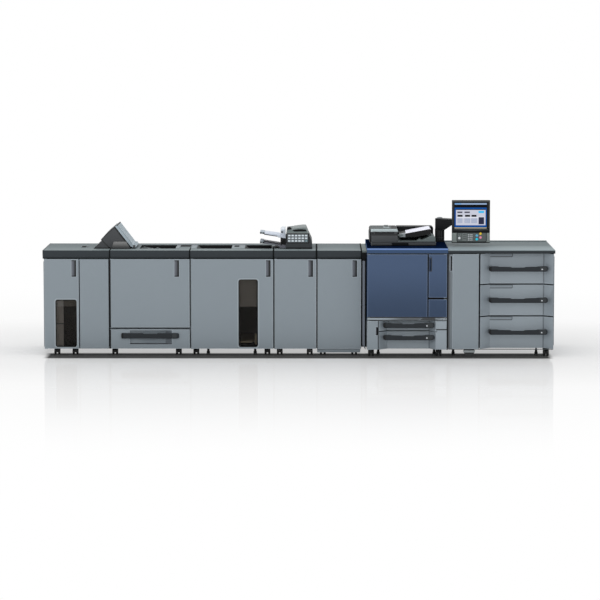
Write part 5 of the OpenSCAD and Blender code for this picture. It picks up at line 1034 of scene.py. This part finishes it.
# sleeve nuts on the levelling feet
sleeve = [(9, 0), (16, 0.6), (16, 20), (12, 21.5), (12, 40), (9, 40)]
feet = [((-853, -409), (-276, 319)), ((756, 1285, 1464.8, 2249.6), (-317, 335))]
made("footSleeves", inkLook, "soft_black",
     *[lathe(sleeve, (x, y, 12.6), "z", 18) for across, deep in feet for x in across for y in deep])

# skirts and plates below the cabinets
made("relaySkirt", panelLook, "panel_grey",
     prism([(180, 30), (584, 30), (588, 64), (176, 64)], "y", -352, -346, 1),
     *[box(x, x + 10, -353.5, -351.5, 36, 56, 0.6) for x in (300, 470)])
made("stayPlate", sprayed("stayCoat", (0.66, 0.69, 0.70)), "light_grey",
     prism([(1556, 42), (1662, 42), (1666, 62), (1552, 62)], "y", -452, -444, 1.2))
made("baseStrip", bandLook, "cover_dark", box(1410, 2396, -478, -472, 73, 79.4, 0.8))
print("casters and skirts made")

# rear panels of the finishers with vents and screws, and a panel with a hand hold on either end
rears = {"binder": (-2380, -1045, [(-2300, -2080, 130, 300), (-1400, -1130, 560, 760)]),
         "stacker": (-1000, -255, [(-900, -640, 120, 280)]), "folder": (-212, 152, [(-150, 90, 600, 780)]),
         "relay": (194, 574, [(250, 500, 120, 280)])}
rearLook = sprayed("rearPanelCoat", finish["panel"])
screw = [(0.6, 5.2), (4.6, 5.0), (6, 3.2), (6, 0)]
screws, vents = [], []
for name, (x0, x1, slots) in rears.items():
    mid = (x0 + x1) / 2
    spans = ((x0, mid - 5), (mid + 5, x1)) if x1 - x0 > 600 else ((x0, x1),)
    made(name + "RearPanel", rearLook, "panel_grey",
         *[ring(roundRect(a, b, 78, 890, 8), roundRect(a + 16, b - 16, 94, 874, 5), "y", 409, 413, 0.8)
           for a, b in spans])
    screws += [lathe(screw, (x, 412.6, z), "y", 18) for a, b in spans for x in (a + 8, b - 8)
               for z in (100, 480, 868)]
    for a, b, low, high in slots:
        outer, inner = roundRect(a, b, low, high, 6), roundRect(a + 7, b - 7, low + 7, high - 7, 3)
        vents.append(ring(outer, inner, "y", 408.8, 413, 0.6))
        for n in range(int((high - low - 20) / 16)):
            z = low + 14 + n * 16
            vents.append(prism([(409, z), (415, z - 5), (416, z - 4), (409, z + 4)], "x", a + 7, b - 7))
made("rearVents", bandLook, "cover_dark", *vents)
made("rearScrews", brushed("screwSteel", (0.55, 0.56, 0.57), (0.70, 0.71, 0.72)), "steel", *screws)
parts = []
for x, y0, y1, z0, z1, hold in ((-2404, -340, 390, 80, 890, 560), (2400.8, -460, 480, 110, 950, 620)):
    outer, inner = roundRect(y0, y1, z0, z1, 10), roundRect(y0 + 18, y1 - 18, z0 + 18, z1 - 18, 6)
    parts.append(ring(outer, inner, "x", x, x + 3.2, 0.8))
    outer, inner = roundRect(-60, 60, hold, hold + 40, 12), roundRect(-50, 50, hold + 8, hold + 32, 8)
    parts.append(ring(outer, inner, "x", x, x + 3.2, 0.8))
made("endPanels", rearLook, "panel_grey", *parts)
print("backs and ends made")
